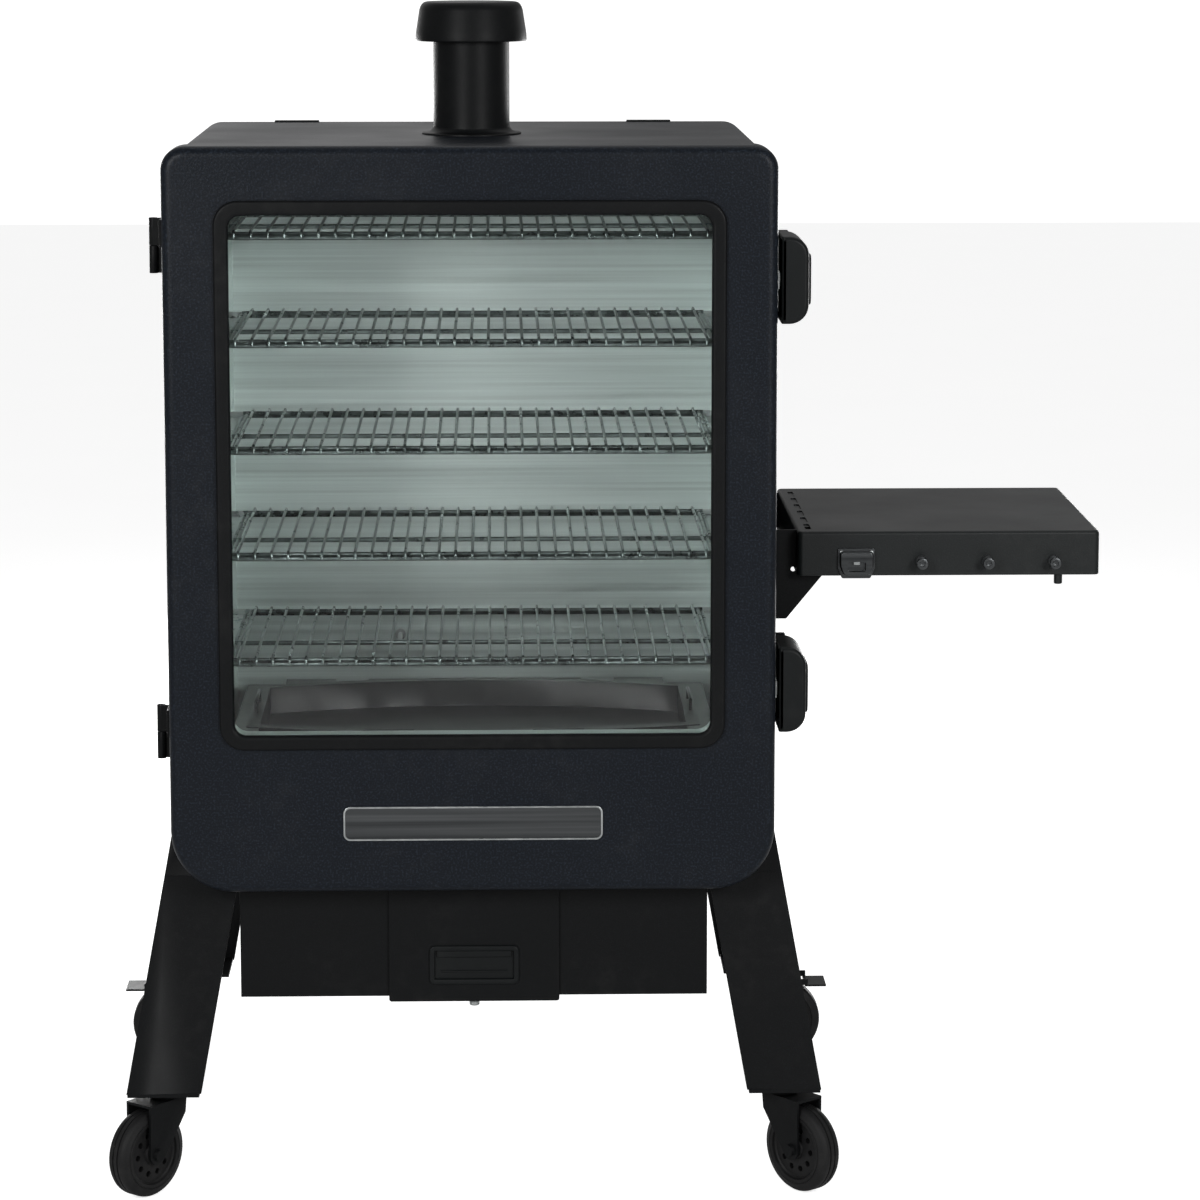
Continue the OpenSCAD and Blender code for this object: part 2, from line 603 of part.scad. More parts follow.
module control_knob() color(rubber) place() translate([knob_x, 0, knob_z]) rotate([-90, 0, 0]) {
  translate([0, 0, cab_rear + housing_d - 21.5]) cylinder(h = 24, r = 4);
  difference() {
    translate([0, 0, cab_rear + housing_d + 0.5]) cylinder(h = knob_out - 0.5, r = 18);
    for (a = [0 : 30 : 330]) rotate(a) translate([19, 0, cab_rear + housing_d]) cylinder(h = 20, r = 2.5);
  }
}
inlet_x = -84;
inlet_z = housing_z + 26;
inlet_at = [inlet_x, cab_rear + housing_d - 24, inlet_z];
module power_inlet() color([0.12, 0.12, 0.12]) place() translate(inlet_at) difference() {
  union() {
    translate([0.2, 0, 0.2]) cube([27.6, 24, 21.6]);
    translate([-11, 24, -4]) cube([50, 2.5, 30]);
  }
  translate([3, 6, 3]) cube([22, 30, 16]);
}

// ---- stand ----
// The front left leg; the others mirror it. It is an angle of folded sheet, splayed both ways,
// with a foot plate and a head plate.
head_x = leg_x + leg_rise * tan(splay_x) + 1;
head_y = leg_y + leg_rise * tan(splay_y) + 0.5;
module leg_raw() {
  difference() {
    union() {
      intersection() {
        translate([leg_x, leg_y, leg_bottom]) rotate([-splay_y, splay_x, 0]) translate([0, 0, -60])
          linear_extrude(leg_rise + leg_lap + 120) {
            square([leg_w, leg_t]);
            square([leg_t, leg_w]);
            translate([leg_w - leg_t, 0]) square([leg_t, 12]);
            translate([0, leg_w - leg_t]) square([12, leg_t]);
          }
        translate([leg_x - 50, leg_y - 50, leg_bottom]) cube([300, 300, leg_rise + leg_lap]);
      }
      translate([leg_x + 1, leg_y + 1, leg_bottom - 4]) cube([leg_w - 2, leg_w - 2, 4.5]);
      translate([head_x, head_y, cab_bottom - 3]) cube([-head_x - cab_w / 2 + 99, 84, 3]);
    }
    sweep(body_front - 1, cab_rear + 1) difference() {
      outline(cab_w + 2, cab_bottom, cab_top, top_r, bottom_r + 1);
    }
    translate([pin_x, pin_y, leg_bottom - 10]) cylinder(h = 20, r = 6);
    bolt_spots() translate([0, 0, -10]) cylinder(h = 20, r = 4);
  }
}
module stand_mirror(sx, sy) translate([0, stand_mid, 0]) mirror([sx, 0, 0]) mirror([0, sy, 0])
  translate([0, -stand_mid, 0]) children();
module leg_front_left() color(satin) place() leg_raw();
module leg_front_right() color(satin) place() stand_mirror(1, 0) leg_raw();
module leg_rear_left() color(satin) place() stand_mirror(0, 1) leg_raw();
module leg_rear_right() color(satin) place() stand_mirror(1, 1) leg_raw();
module leg_bolts() color(steel) place() bolt_spots() {
  translate([0, 0, -9]) cylinder(h = 6, r = 7.5, $fn = 6);
  translate([0, 0, -4]) cylinder(h = 5.5, r = 4);
}
module base_skirt() color(satin) place() {
  skirt_box();
  // Drawer runners, welded under the skirt's top
  for (m = [0, 1]) mirror([m, 0, 0]) {
    translate([drawer_w / 2 - 7.5, skirt_y + 3, tray_z + 84])
      cube([2, drawer_d + 10, cab_bottom - 1 - tray_z - 84]);
    translate([drawer_w / 2 - 18, skirt_y + 3, tray_z + 82]) cube([12.5, drawer_d + 10, 2]);
  }
}
skirt_d = 2 * (stand_mid - skirt_y);
skirt_z = cab_bottom - skirt_h;
module skirt_box() difference() {
  translate([-skirt_half, skirt_y, skirt_z]) cube([2 * skirt_half, skirt_d, skirt_h]);
  translate([-skirt_half + 1.5, skirt_y + 1.5, skirt_z - 1])
    cube([2 * skirt_half - 3, skirt_d - 3, skirt_h - 0.5]);
  translate([-drawer_w / 2 + 6, skirt_y - 5, skirt_z - 1]) cube([drawer_w - 12, 20, skirt_h - 8]);
  translate([0, drain_y, cab_bottom - 5]) cylinder(h = 10, r = drain_r + fit);
  // Notches for the heads of the legs and their bolts
  for (e = [-1, 1], s = [-1, 1])
    translate([s * bolt_x - 34, stand_mid + e * (bolt_reach - bolt_step / 2) - 47, cab_bottom - 12])
      cube([68, 94, 20]);
}

// ---- drawer ----
tray_z = drawer_z + 8;
module drawer_tray() color([0.25, 0.25, 0.26]) place() difference() {
  union() {
    translate([-drawer_w / 2 + 20, skirt_y - 2, tray_z]) cube([drawer_w - 40, drawer_d, 96]);
    translate([-drawer_w / 2 + 10, skirt_y - 2, tray_z + 84.4]) cube([drawer_w - 20, drawer_d, 1.6]);
  }
  translate([-drawer_w / 2 + 21.5, skirt_y - 0.5, tray_z + 1.5]) cube([drawer_w - 43, drawer_d - 3, 120]);
  translate([0, skirt_y + 24, tray_z - 1]) cylinder(h = 5, r = 5);
}
pull_w = 106;
pull_h = 47;
pull_z = drawer_z + 21;
module drawer_front() color(satin) place() difference() {
  translate([-drawer_w / 2, skirt_y - 4, drawer_z]) cube([drawer_w, 2, drawer_h]);
  translate([-pull_w / 2 + 5, skirt_y - 5, pull_z + 5]) cube([pull_w - 10, 5, pull_h - 10]);
}
// Recessed grip: a rim on the front and a cup that reaches back into the tray
module drawer_pull() color([0.08, 0.08, 0.09]) place() translate([0, skirt_y - 4, pull_z]) difference() {
  union() {
    translate([-pull_w / 2, -3, 0]) cube([pull_w, 3, pull_h]);
    translate([-pull_w / 2 + 5.2, -1, 5.2]) cube([pull_w - 10.4, 3, pull_h - 10.4]);
  }
  translate([-pull_w / 2 + 7, -4, 7]) cube([pull_w - 14, 5, pull_h - 14]);
}
module drain_plug() color(steel) place() translate([0, skirt_y + 24, tray_z]) {
  translate([0, 0, -20]) cylinder(h = 20, r = 6);
  cylinder(h = 1.5, r = 5);
}

// ---- casters ----
fork_z = leg_bottom - 10.5;
pedal_z = fork_z - 8.5;
module caster_at(sx, sy) stand_mirror(sx, sy) translate([pin_x, pin_y, 0]) children();
module caster_stems() color(steel) place() for (sx = [0, 1], sy = [0, 1]) caster_at(sx, sy) {
  translate([0, 0, fork_z - 11.5]) cylinder(h = 36, r = 6);
  translate([0, 0, fork_z - 11.5]) cylinder(h = 3, r = 10);
  translate([0, 0, fork_z + 0.5]) cylinder(h = leg_bottom - 4 - fork_z - 0.5, r = 16);
  translate([0, 0, leg_bottom + 0.5]) cylinder(h = 7, r = 11, $fn = 6);
}
axle_r = 4;
// Fork with its riveted axle, trailing towards -X before it is turned
module fork_raw(brake) difference() {
  union() {
    if (brake) for (s = [-1, 1]) translate([-pedal_x, s * (wheel_w / 2 + 5.5) + 3.5, pedal_z])
      rotate([90, 0, 0]) cylinder(h = 7, r = 3);
    translate([0, 0, fork_z - 8]) cylinder(h = 8, r = 20);
    translate([-46, -wheel_w / 2 - 5, fork_z - 6]) cube([58, wheel_w + 10, 3]);
    for (s = [-1, 1])
      translate([0, s * (wheel_w / 2 + 3.5) + 1.5, 0]) rotate([90, 0, 0]) linear_extrude(3) {
        polygon([
          [14, fork_z - 3], [-46, fork_z - 3], [-46, fork_z - 18], [-trail - 12, wheel_r],
          [-trail + 11, wheel_r - 6], [12, fork_z - 22]]);
        translate([-trail, wheel_r]) circle(r = 12);
      }
    translate([-trail, wheel_w / 2 + 9, wheel_r]) rotate([90, 0, 0]) cylinder(h = wheel_w + 18, r = axle_r);
    for (s = [-1, 1]) translate([-trail, s * (wheel_w / 2 + 7) + 2.5, wheel_r])
      rotate([90, 0, 0]) cylinder(h = 5, r = 7);
  }
  translate([0, 0, fork_z - 20]) cylinder(h = 40, r = 6 + run);
}
// One face of the wheel, from the bore out to the tread; the other face mirrors it
module wheel_half() polygon([
  [axle_r + run, -0.1], [axle_r + run, wheel_w / 2 - 0.5], [12, wheel_w / 2 - 0.5], [12, wheel_w / 2 - 4],
  [wheel_r - 16, wheel_w / 2 - 4], [wheel_r - 14, wheel_w / 2], [wheel_r - 6, wheel_w / 2],
  [wheel_r, wheel_w / 2 - tread_edge], [wheel_r, -0.1]]);
module wheel_raw() translate([-trail, 0, wheel_r]) rotate([90, 0, 0]) difference() {
  rotate_extrude() {
    wheel_half();
    mirror([0, 1]) wheel_half();
  }
  for (a = [0 : 36 : 324]) rotate(a) translate([25, 0, -30]) cylinder(h = 60, r = 4);
}
module caster_fork_front_left() color(satin) place() caster_at(0, 0) rotate(front_turn) fork_raw(false);
module caster_fork_front_right() color(satin) place() caster_at(1, 0) rotate(front_turn) fork_raw(false);
module caster_fork_rear_left() color(satin) place() caster_at(0, 1) fork_raw(true);
module caster_fork_rear_right() color(satin) place() caster_at(1, 1) fork_raw(true);
module caster_wheel_front_left() color(rubber) place() caster_at(0, 0) rotate(front_turn) wheel_raw();
module caster_wheel_front_right() color(rubber) place() caster_at(1, 0) rotate(front_turn) wheel_raw();
module caster_wheel_rear_left() color(rubber) place() caster_at(0, 1) wheel_raw();
module caster_wheel_rear_right() color(rubber) place() caster_at(1, 1) wheel_raw();
// Brake pedal: its side plates hang on the fork's stub pins and its tread reaches past the wheel
module pedal_raw() difference() {
  union() {
    for (s = [-1, 1])
      translate([0, s * (wheel_w / 2 + 6.5) + 1, 0]) rotate([90, 0, 0]) linear_extrude(2) {
        translate([-pedal_x, pedal_z]) circle(r = 6);
        translate([-pedal_x - 30, pedal_z - 6.5]) square([30, 8]);
      }
    translate([-pedal_tip, -wheel_w / 2 - 7.5, pedal_z - 8.5])
      cube([pedal_tip - pedal_x - 26, wheel_w + 15, 2.5]);
  }
  translate([-pedal_x, 30, pedal_z]) rotate([90, 0, 0]) cylinder(h = 60, r = 3 + run);
}
module brake_pedal_left() color([0.2, 0.2, 0.2]) place() caster_at(0, 1) pedal_raw();
module brake_pedal_right() color([0.2, 0.2, 0.2]) place() caster_at(1, 1) pedal_raw();

outer_shell();
liner();
insulation();
back_panel();
door_gasket();
rack_rails();
heating_element();
heat_deflector();
drip_pan();
chip_tray();
temperature_probe();
flue_pipe();
flue_spindle();
flue_cap();
door_outer_skin();
door_inner_skin();
window_frame();
glass_gasket();
window_glass();
name_badge();
hinge_brackets();
hinge_straps();
latch_bases();
latch_paddle_upper();
latch_paddle_lower();
door_catches();
rack_1();
rack_2();
rack_3();
rack_4();
rack_5();
shelf_top();
shelf_brackets();
bottle_opener();
tool_hooks();
control_housing();
control_board();
control_knob();
power_inlet();
leg_front_left();
leg_front_right();
leg_rear_left();
leg_rear_right();
leg_bolts();
base_skirt();
drawer_tray();
drawer_front();
drawer_pull();
drain_plug();
caster_stems();
caster_fork_front_left();
caster_fork_front_right();
caster_fork_rear_left();
caster_fork_rear_right();
caster_wheel_front_left();
caster_wheel_front_right();
caster_wheel_rear_left();
caster_wheel_rear_right();
brake_pedal_left();
brake_pedal_right();
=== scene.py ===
"""Looks of a cabinet smoker on casters: fine meshes, finishes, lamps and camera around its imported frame.

Metres throughout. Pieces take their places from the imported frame's own boxes and joints.
"""
import json
import logging
import math
from collections.abc import Callable
from dataclasses import dataclass, field
from enum import Enum

import bpy
import numpy as np
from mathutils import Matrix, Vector


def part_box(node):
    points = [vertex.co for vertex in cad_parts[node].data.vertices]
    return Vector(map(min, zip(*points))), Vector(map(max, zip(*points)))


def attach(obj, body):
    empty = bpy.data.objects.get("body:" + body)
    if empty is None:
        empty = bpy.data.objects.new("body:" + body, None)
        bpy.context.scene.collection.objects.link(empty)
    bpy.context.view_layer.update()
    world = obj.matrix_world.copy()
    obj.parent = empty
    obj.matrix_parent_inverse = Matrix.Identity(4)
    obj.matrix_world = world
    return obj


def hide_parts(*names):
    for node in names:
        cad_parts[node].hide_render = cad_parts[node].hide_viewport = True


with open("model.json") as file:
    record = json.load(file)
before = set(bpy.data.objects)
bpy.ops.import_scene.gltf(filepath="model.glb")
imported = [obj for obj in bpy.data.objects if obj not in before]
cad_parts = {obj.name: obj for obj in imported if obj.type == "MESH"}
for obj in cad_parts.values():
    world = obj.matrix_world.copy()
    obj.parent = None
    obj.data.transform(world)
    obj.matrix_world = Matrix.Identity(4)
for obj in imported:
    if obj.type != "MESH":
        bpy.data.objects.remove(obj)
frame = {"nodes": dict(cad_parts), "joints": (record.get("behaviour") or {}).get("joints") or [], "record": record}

LOG = logging.getLogger("cabinet_smoker")
MM = 0.001
UP = (0, 0, 1)
FORWARD = (0, -1, 0)
WHITE = (1, 1, 1, 1)
Loop = np.ndarray
Pair = tuple[float, float]
Triple = tuple[float, float, float]
Mesh, Piece, Material = bpy.types.Mesh, bpy.types.Object, bpy.types.Material
Node, Socket, Tree = bpy.types.Node, bpy.types.NodeSocket, bpy.types.NodeTree
Lift = Callable[[Loop, float], np.ndarray]


# ---------------------------------------------------------------- shapes
@dataclass
class Solid:
    """A closed surface: points, four-sided faces and end caps.

    Args:
        points: (N, 3) places of the corners.
        quads: (Q, 4) corner numbers of the four-sided faces.
        caps: corner numbers of each many-sided end face.
    """

    points: np.ndarray
    quads: np.ndarray
    caps: list[np.ndarray] = field(default_factory=list)

    def triangles(self) -> np.ndarray:
        """All faces as triangles: each quad halved, each cap fanned from its first corner."""
        parts = [self.quads[:, [0, 1, 2]], self.quads[:, [0, 2, 3]]]
        for cap in self.caps:
            first = np.full(len(cap) - 2, cap[0])
            parts.append(np.stack([first, cap[1:-1], cap[2:]], axis=1))
        return np.concatenate(parts)

    def outward(self) -> "Solid":
        """Turns every face over if the enclosed volume (a sixth of the sum of a . (b x c)) is negative."""
        a, b, c = np.moveaxis(self.points[self.triangles()], 1, 0)
        if np.einsum("ij,ij->", a, np.cross(b, c)) >= 0:
            return self
        return Solid(self.points, self.quads[:, ::-1], [cap[::-1] for cap in self.caps])

    def moved(self, turn: np.ndarray, shift: np.ndarray) -> "Solid":
        """The solid with every point p at turn times p plus shift."""
        return Solid(self.points @ np.asarray(turn).T + shift, self.quads, self.caps).outward()


def joined(*solids: Solid) -> Solid:
    """Several solids as one mesh, each still closed in itself."""
    starts = np.cumsum([0] + [len(s.points) for s in solids[:-1]])
    return Solid(
        np.concatenate([s.points for s in solids]),
        np.concatenate([s.quads + k for s, k in zip(solids, starts)]),
        [cap + k for s, k in zip(solids, starts) for cap in s.caps],
    )


def loft(rows: np.ndarray, ring: bool = False) -> Solid:
    """Skins a stack of closed loops: corner j of loop i joins corner j of loop i + 1.

    Args:
        rows: (R, C, 3) loops with the same number of points.
        ring: the last loop joins the first, and else both ends get a cap.

    Returns:
        The closed solid.
    """
    rows = np.asarray(rows, float)
    count, width = rows.shape[:2]
    number = np.arange(count * width).reshape(count, width)
    if ring:
        number = np.concatenate([number, number[:1]])
    low, high = number[:-1], number[1:]
    quads = np.stack([low, np.roll(low, -1, 1), np.roll(high, -1, 1), high], axis=2).reshape(-1, 4)
    caps = [] if ring else [number[0][::-1].copy(), number[-1].copy()]
    return Solid(rows.reshape(-1, 3), quads, caps).outward()


def rounded(x0: float, x1: float, z0: float, z1: float, radii: object, steps: int = 8) -> Loop:
    """Rectangle with rounded corners: each corner is its centre plus radius times (cos t, sin t).

    Args:
        x0, x1, z0, z1: the sides.
        radii: one radius, or four for lower right, upper right, upper left and lower left.
        steps: chords in each corner.

    Returns:
        (4 * (steps + 1), 2) points, anticlockwise.
    """
    r = np.maximum(np.broadcast_to(np.asarray(radii, float), 4), 2e-5)
    cx = np.array([x1, x1, x0, x0]) + np.array([-1, -1, 1, 1]) * r
    cz = np.array([z0, z1, z1, z0]) + np.array([1, -1, -1, 1]) * r
    t = np.radians(np.arange(4)[:, None] * 90 - 90 + np.linspace(0, 90, steps + 1))
    return np.stack([cx[:, None] + r[:, None] * np.cos(t), cz[:, None] + r[:, None] * np.sin(t)],
        2).reshape(-1, 2)


def inset(loop: Loop, depth: float) -> Loop:
    """Moves each point of a loop inwards along the mean of its sides' normals, longer at sharp corners."""
    side = np.roll(loop, -1, 0) - loop
    side /= np.maximum(np.linalg.norm(side, axis=1, keepdims=True), 1e-9)
    normal = np.stack([-side[:, 1], side[:, 0]], 1)
    mean = normal + np.roll(normal, 1, 0)
    mean /= np.maximum(np.linalg.norm(mean, axis=1, keepdims=True), 1e-9)
    stretch = np.maximum(np.einsum("ij,ij->i", mean, normal), 0.35)
    return loop + mean * (depth / stretch)[:, None]


def filleted(corners: object, radius: float, steps: int = 5, closed: bool = True) -> np.ndarray:
    """Rounds a polyline's corners: each becomes an arc that touches both sides.

    The arc starts and ends at radius / tan(half the corner's angle) from the corner.

    Args:
        corners: (K, D) points in the plane or in space.
        radius: radius of every arc.
        steps: chords in each arc.
        closed: the last point joins the first.

    Returns:
        The rounded polyline's points.
    """
    p = np.asarray(corners, float)
    before, after = np.roll(p, 1, 0) - p, np.roll(p, -1, 0) - p
    a = before / np.linalg.norm(before, axis=1, keepdims=True)
    b = after / np.linalg.norm(after, axis=1, keepdims=True)
    half = np.arccos(np.clip(np.einsum("ij,ij->i", a, b), -0.999999, 0.999999))[:, None] / 2
    reach = radius / np.tan(half)
    middle = (a + b) / np.maximum(np.linalg.norm(a + b, axis=1, keepdims=True), 1e-9)
    centre = p + middle * radius / np.sin(half)
    start, end = p + a * reach - centre, p + b * reach - centre
    sweep = (np.pi - 2 * half)[:, :, None]
    share = np.linspace(0, 1, steps + 1)[None, :, None]
    arc = (np.sin((1 - share) * sweep) * start[:, None] + np.sin(share * sweep) * end[:,
        None]) / np.sin(sweep)
    arc = arc + centre[:, None]
    if closed:
        return arc.reshape(-1, p.shape[1])
    return np.concatenate([p[:1], arc[1:-1].reshape(-1, p.shape[1]), p[-1:]])


def at_y(loop: Loop, y: float) -> np.ndarray:
    """A loop of (x, z) stood up at depth y."""
    return np.stack([loop[:, 0], np.full(len(loop), y), loop[:, 1]], 1)


def at_z(loop: Loop, z: float) -> np.ndarray:
    """A loop of (x, y) laid flat at height z."""
    return np.stack([loop[:, 0], loop[:, 1], np.full(len(loop), z)], 1)


def at_x(loop: Loop, x: float) -> np.ndarray:
    """A loop of (y, z) stood up at x."""
    return np.stack([np.full(len(loop), x), loop[:, 0], loop[:, 1]], 1)


def quarter(edge: float, steps: int = 4) -> np.ndarray:
    """(inset, depth) stations of a quarter-round rim, from the face's edge to the side's."""
    t = np.linspace(0, np.pi / 2, steps + 1)
    return np.stack([edge * (1 - np.sin(t)), edge * (1 - np.cos(t))], 1)


def slab(loop: Loop, low: float, high: float, edge: float, lift: Lift, steps: int = 3) -> Solid:
    """A plate of a loop's shape between two levels, with quarter-round rims of radius edge."""
    rim = quarter(edge, steps)
    rows = [lift(inset(loop, d), low + h) for d, h in rim]
    rows += [lift(inset(loop, d), high - h) for d, h in rim[::-1]]
    return loft(np.array(rows))


def brick(lo: object, hi: object, edge: float) -> Solid:
    """A block between two corners whose edges are all rounded."""
    (x0, y0, z0), (x1, y1, z1) = lo, hi
    return slab(rounded(x0, x1, y0, y1, edge, 3), z0, z1, edge, at_z)


def tube(path: np.ndarray, plane: object, radius: float, sides: int = 8, closed: bool = False) -> Solid:
    """Round wire along a flat path: a circle at each point in the plane square to the path.

    Args:
        path: (K, 3) points.
        plane: normal of the plane that the path lies in.
        radius: the wire's radius.
        sides: corners of each circle.
        closed: the path is a closed loop.

    Returns:
        The wire, capped where it is open.
    """
    path = np.asarray(path, float)
    if closed:
        run = np.roll(path, -1, 0) - np.roll(path, 1, 0)
    else:
        run = np.gradient(path, axis=0)
    run /= np.linalg.norm(run, axis=1, keepdims=True)
    flat = np.broadcast_to(np.asarray(plane, float), path.shape)
    across = np.cross(run, flat)
    across /= np.linalg.norm(across, axis=1, keepdims=True)
    t = np.linspace(0, 2 * np.pi, sides, endpoint=False)
    rows = path[:, None] + radius * (np.cos(t)[None, :, None] * across[:, None] + np.sin(t)[None, :,
        None] * flat[:, None])
    return loft(rows, ring=closed)


def lathe(profile: object, centre: object, axis: object, sides: int = 64, ring: bool = False) -> Solid:
    """Turns a (radius, height) profile round an axis.

    Each point is centre + height * axis + radius * (u cos t + v sin t), with u and v square to the axis.
    """
    profile = np.asarray(profile, float)
    axis = np.asarray(axis, float) / np.linalg.norm(axis)
    u = np.cross(axis, [1, 0, 0] if abs(axis[0]) < 0.9 else [0, 1, 0])
    u /= np.linalg.norm(u)
    v = np.cross(axis, u)
    t = np.linspace(0, 2 * np.pi, sides, endpoint=False)
    circle = np.cos(t)[:, None] * u + np.sin(t)[:, None] * v
    rows = np.asarray(centre, float) + profile[:, 1, None, None] * axis + profile[:, 0, None, None] * circle
    return loft(rows, ring=ring)


# ---------------------------------------------------------------- pieces
def meshed(name: str, solid: Solid) -> Mesh:
    """A solid's points and faces as a mesh."""
    mesh = bpy.data.meshes.new(name)
    mesh.from_pydata(solid.points.tolist(), [], solid.quads.tolist() + [cap.tolist() for cap in solid.caps])
    return mesh


def show(
    name: str, solid: Solid, body: str, slot: str, material: Material, *nodes: str, crease: float = 34
) -> Piece:
    """Puts a solid into the scene as a piece that rides on a body and stands for CAD nodes.

    Args:
        name: the piece's name.
        solid: its surface.
        body: CAD body it rides on.
        slot: the record's material slot; not used.
        material: its finish.
        nodes: CAD nodes it stands for.
        crease: edges sharper than this angle, in degrees, stay sharp.

    Returns:
        The new object.
    """
    return settle(name, meshed(name, solid), body, slot, material, *nodes, crease=crease)


def settle(
    name: str, mesh: Mesh, body: str, slot: str, material: Material, *nodes: str, crease: float = 34
) -> Piece:
    """Links a mesh as a piece, shades it by crease angle and hangs it on its body."""
    mesh.polygons.foreach_set("use_smooth", np.ones(len(mesh.polygons), bool))
    mesh.set_sharp_from_angle(angle=math.radians(crease))
    piece = bpy.data.objects.new(name, mesh)
    bpy.context.scene.collection.objects.link(piece)
    weighted = piece.modifiers.new("even_shading", "WEIGHTED_NORMAL")
    weighted.keep_sharp = True
    mesh.materials.append(material)
    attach(piece, body)
    if nodes:
        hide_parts(*nodes)
    LOG.info("%s: %d faces on %s", name, len(mesh.polygons), body)
    return piece


def carved(solid: Solid, *cutters: Solid) -> Mesh:
    """The mesh of a solid with the cutters' shapes taken away from it."""

    def loose(part: Solid, name: str) -> Piece:
        """A solid as a plain object outside the model."""
        made = bpy.data.objects.new(name, meshed(name, part))
        bpy.context.scene.collection.objects.link(made)
        return made

    block, knife = loose(solid, "block"), loose(joined(*cutters), "knife")
    cut = block.modifiers.new("cut", "BOOLEAN")
    cut.operation, cut.object, cut.solver = "DIFFERENCE", knife, "EXACT"
    result = bpy.data.meshes.new_from_object(block.evaluated_get(bpy.context.evaluated_depsgraph_get()))
    for made in (block, knife):
        bpy.data.objects.remove(made)
    return result


def soften(node: str, material: Material, edge: float = 0.5 * MM) -> None:
    """Dresses a CAD node in its finish and rounds its sharp edges a little.

    Args:
        node: the CAD node's name.
        material: its finish.
        edge: width of the rounding, or 0 for none.
    """
    piece = frame["nodes"][node]
    piece.data.materials.clear()
    piece.data.materials.append(material)
    if edge > 0:
        weld = piece.modifiers.new("weld", "WELD")
        weld.merge_threshold = 2e-5
        flat = piece.modifiers.new("flat_faces", "DECIMATE")
        flat.decimate_type, flat.angle_limit = "DISSOLVE", math.radians(0.4)
        bevel = piece.modifiers.new("edge", "BEVEL")
        bevel.width, bevel.segments, bevel.limit_method = edge, 2, "ANGLE"
        bevel.angle_limit, bevel.use_clamp_overlap = math.radians(40), True
        bevel.harden_normals = True
    LOG.info("%s: CAD node in %s", node, material.name)


# ---------------------------------------------------------------- finishes
class Wiring:
    """A node tree while it is wired up."""

    def __init__(self, tree: Tree) -> None:
        """Keeps the tree."""
        self.tree = tree

    def node(self, kind: str, settings: dict | None = None, **values: object) -> Node:
        """Adds a node.

        Args:
            kind: Blender's node type without its ShaderNode prefix.
            settings: attributes of the node.
            values: inputs by name with _ for a space, each a value or another node's output.

        Returns:
            The node.
        """
        made = self.tree.nodes.new(kind if kind.startswith("NodeGroup") else "ShaderNode" + kind)
        for key, value in (settings or {}).items():
            setattr(made, key, value)
        for key, value in values.items():
            self.feed(made.inputs[key.replace("_", " ")], value)
        return made

    def feed(self, socket: Socket, value: object) -> None:
        """Links an output to a socket, or sets the socket's own value."""
        if isinstance(value, Socket):
            self.tree.links.new(value, socket)
        else:
            socket.default_value = value

    def math(self, how: str, a: object, b: object) -> Socket:
        """One sum, product or other operation of two values."""
        made = self.node("Math", {"operation": how})
        self.feed(made.inputs[0], a)
        self.feed(made.inputs[1], b)
        return made.outputs[0]

    def span(self, value: object, low: float, high: float, to_low: float = 0, to_high: float = 1) -> Socket:
        """Maps low..high onto to_low..to_high, clamped."""
        made = self.node("MapRange", None, Value=value, From_Min=low, From_Max=high, To_Min=to_low,
            To_Max=to_high)
        return made.outputs[0]

    def blend(self, factor: object, a: object, b: object) -> Socket:
        """A colour from a to b by factor."""
        made = self.node("Mix", {"data_type": "RGBA"})
        self.feed(made.inputs[0], factor)
        self.feed(made.inputs[6], a)
        self.feed(made.inputs[7], b)
        return made.outputs[2]

    def group(self, tree: Tree, **values: object) -> Node:
        """Places a shared effect."""
        made = self.tree.nodes.new("ShaderNodeGroup")
        made.node_tree = tree
        for key, value in values.items():
            self.feed(made.inputs[key.replace("_", " ")], value)
        return made


def effect(name: str, inputs: dict[str, object], outputs: tuple[str, ...]) -> tuple[Wiring, Node, Node]:
    """Starts a shared node group.

    Args:
        name: the group's name.
        inputs: socket names with their plain values, or None for a vector.
        outputs: names of its float outputs.

    Returns:
        The wiring, the group's input node and its output node.
    """
    tree = bpy.data.node_groups.new(name, "ShaderNodeTree")
    for key, value in inputs.items():
        kind = "NodeSocketVector" if value is None else "NodeSocketFloat"
        socket = tree.interface.new_socket(name=key, in_out="INPUT", socket_type=kind)
        if value is not None:
            socket.default_value = value
    for key in outputs:
        tree.interface.new_socket(name=key, in_out="OUTPUT", socket_type="NodeSocketFloat")
    wiring = Wiring(tree)
    return wiring, wiring.node("NodeGroupInput"), wiring.node("NodeGroupOutput")


def pebble_effect() -> Tree:
    """Fine pebbled coating: rounded cells of one size over softer, wider waves."""
    w, given, out = effect("pebbled_coat", {"Vector": None, "Scale": 500.0}, ("Height", "Fleck"))
    cells = w.node("TexVoronoi", {"feature": "SMOOTH_F1"}, Vector=given.outputs["Vector"],
        Scale=given.outputs["Scale"])
    waves = w.node("TexNoise", None, Vector=given.outputs["Vector"], Scale=given.outputs["Scale"], Detail=3.0)
    height = w.math("ADD", w.math("MULTIPLY", cells.outputs["Distance"], -0.7), waves.outputs["Fac"])
    w.feed(out.inputs["Height"], height)
    w.feed(out.inputs["Fleck"], w.span(waves.outputs["Fac"], 0.5, 0.72))
    return w.tree


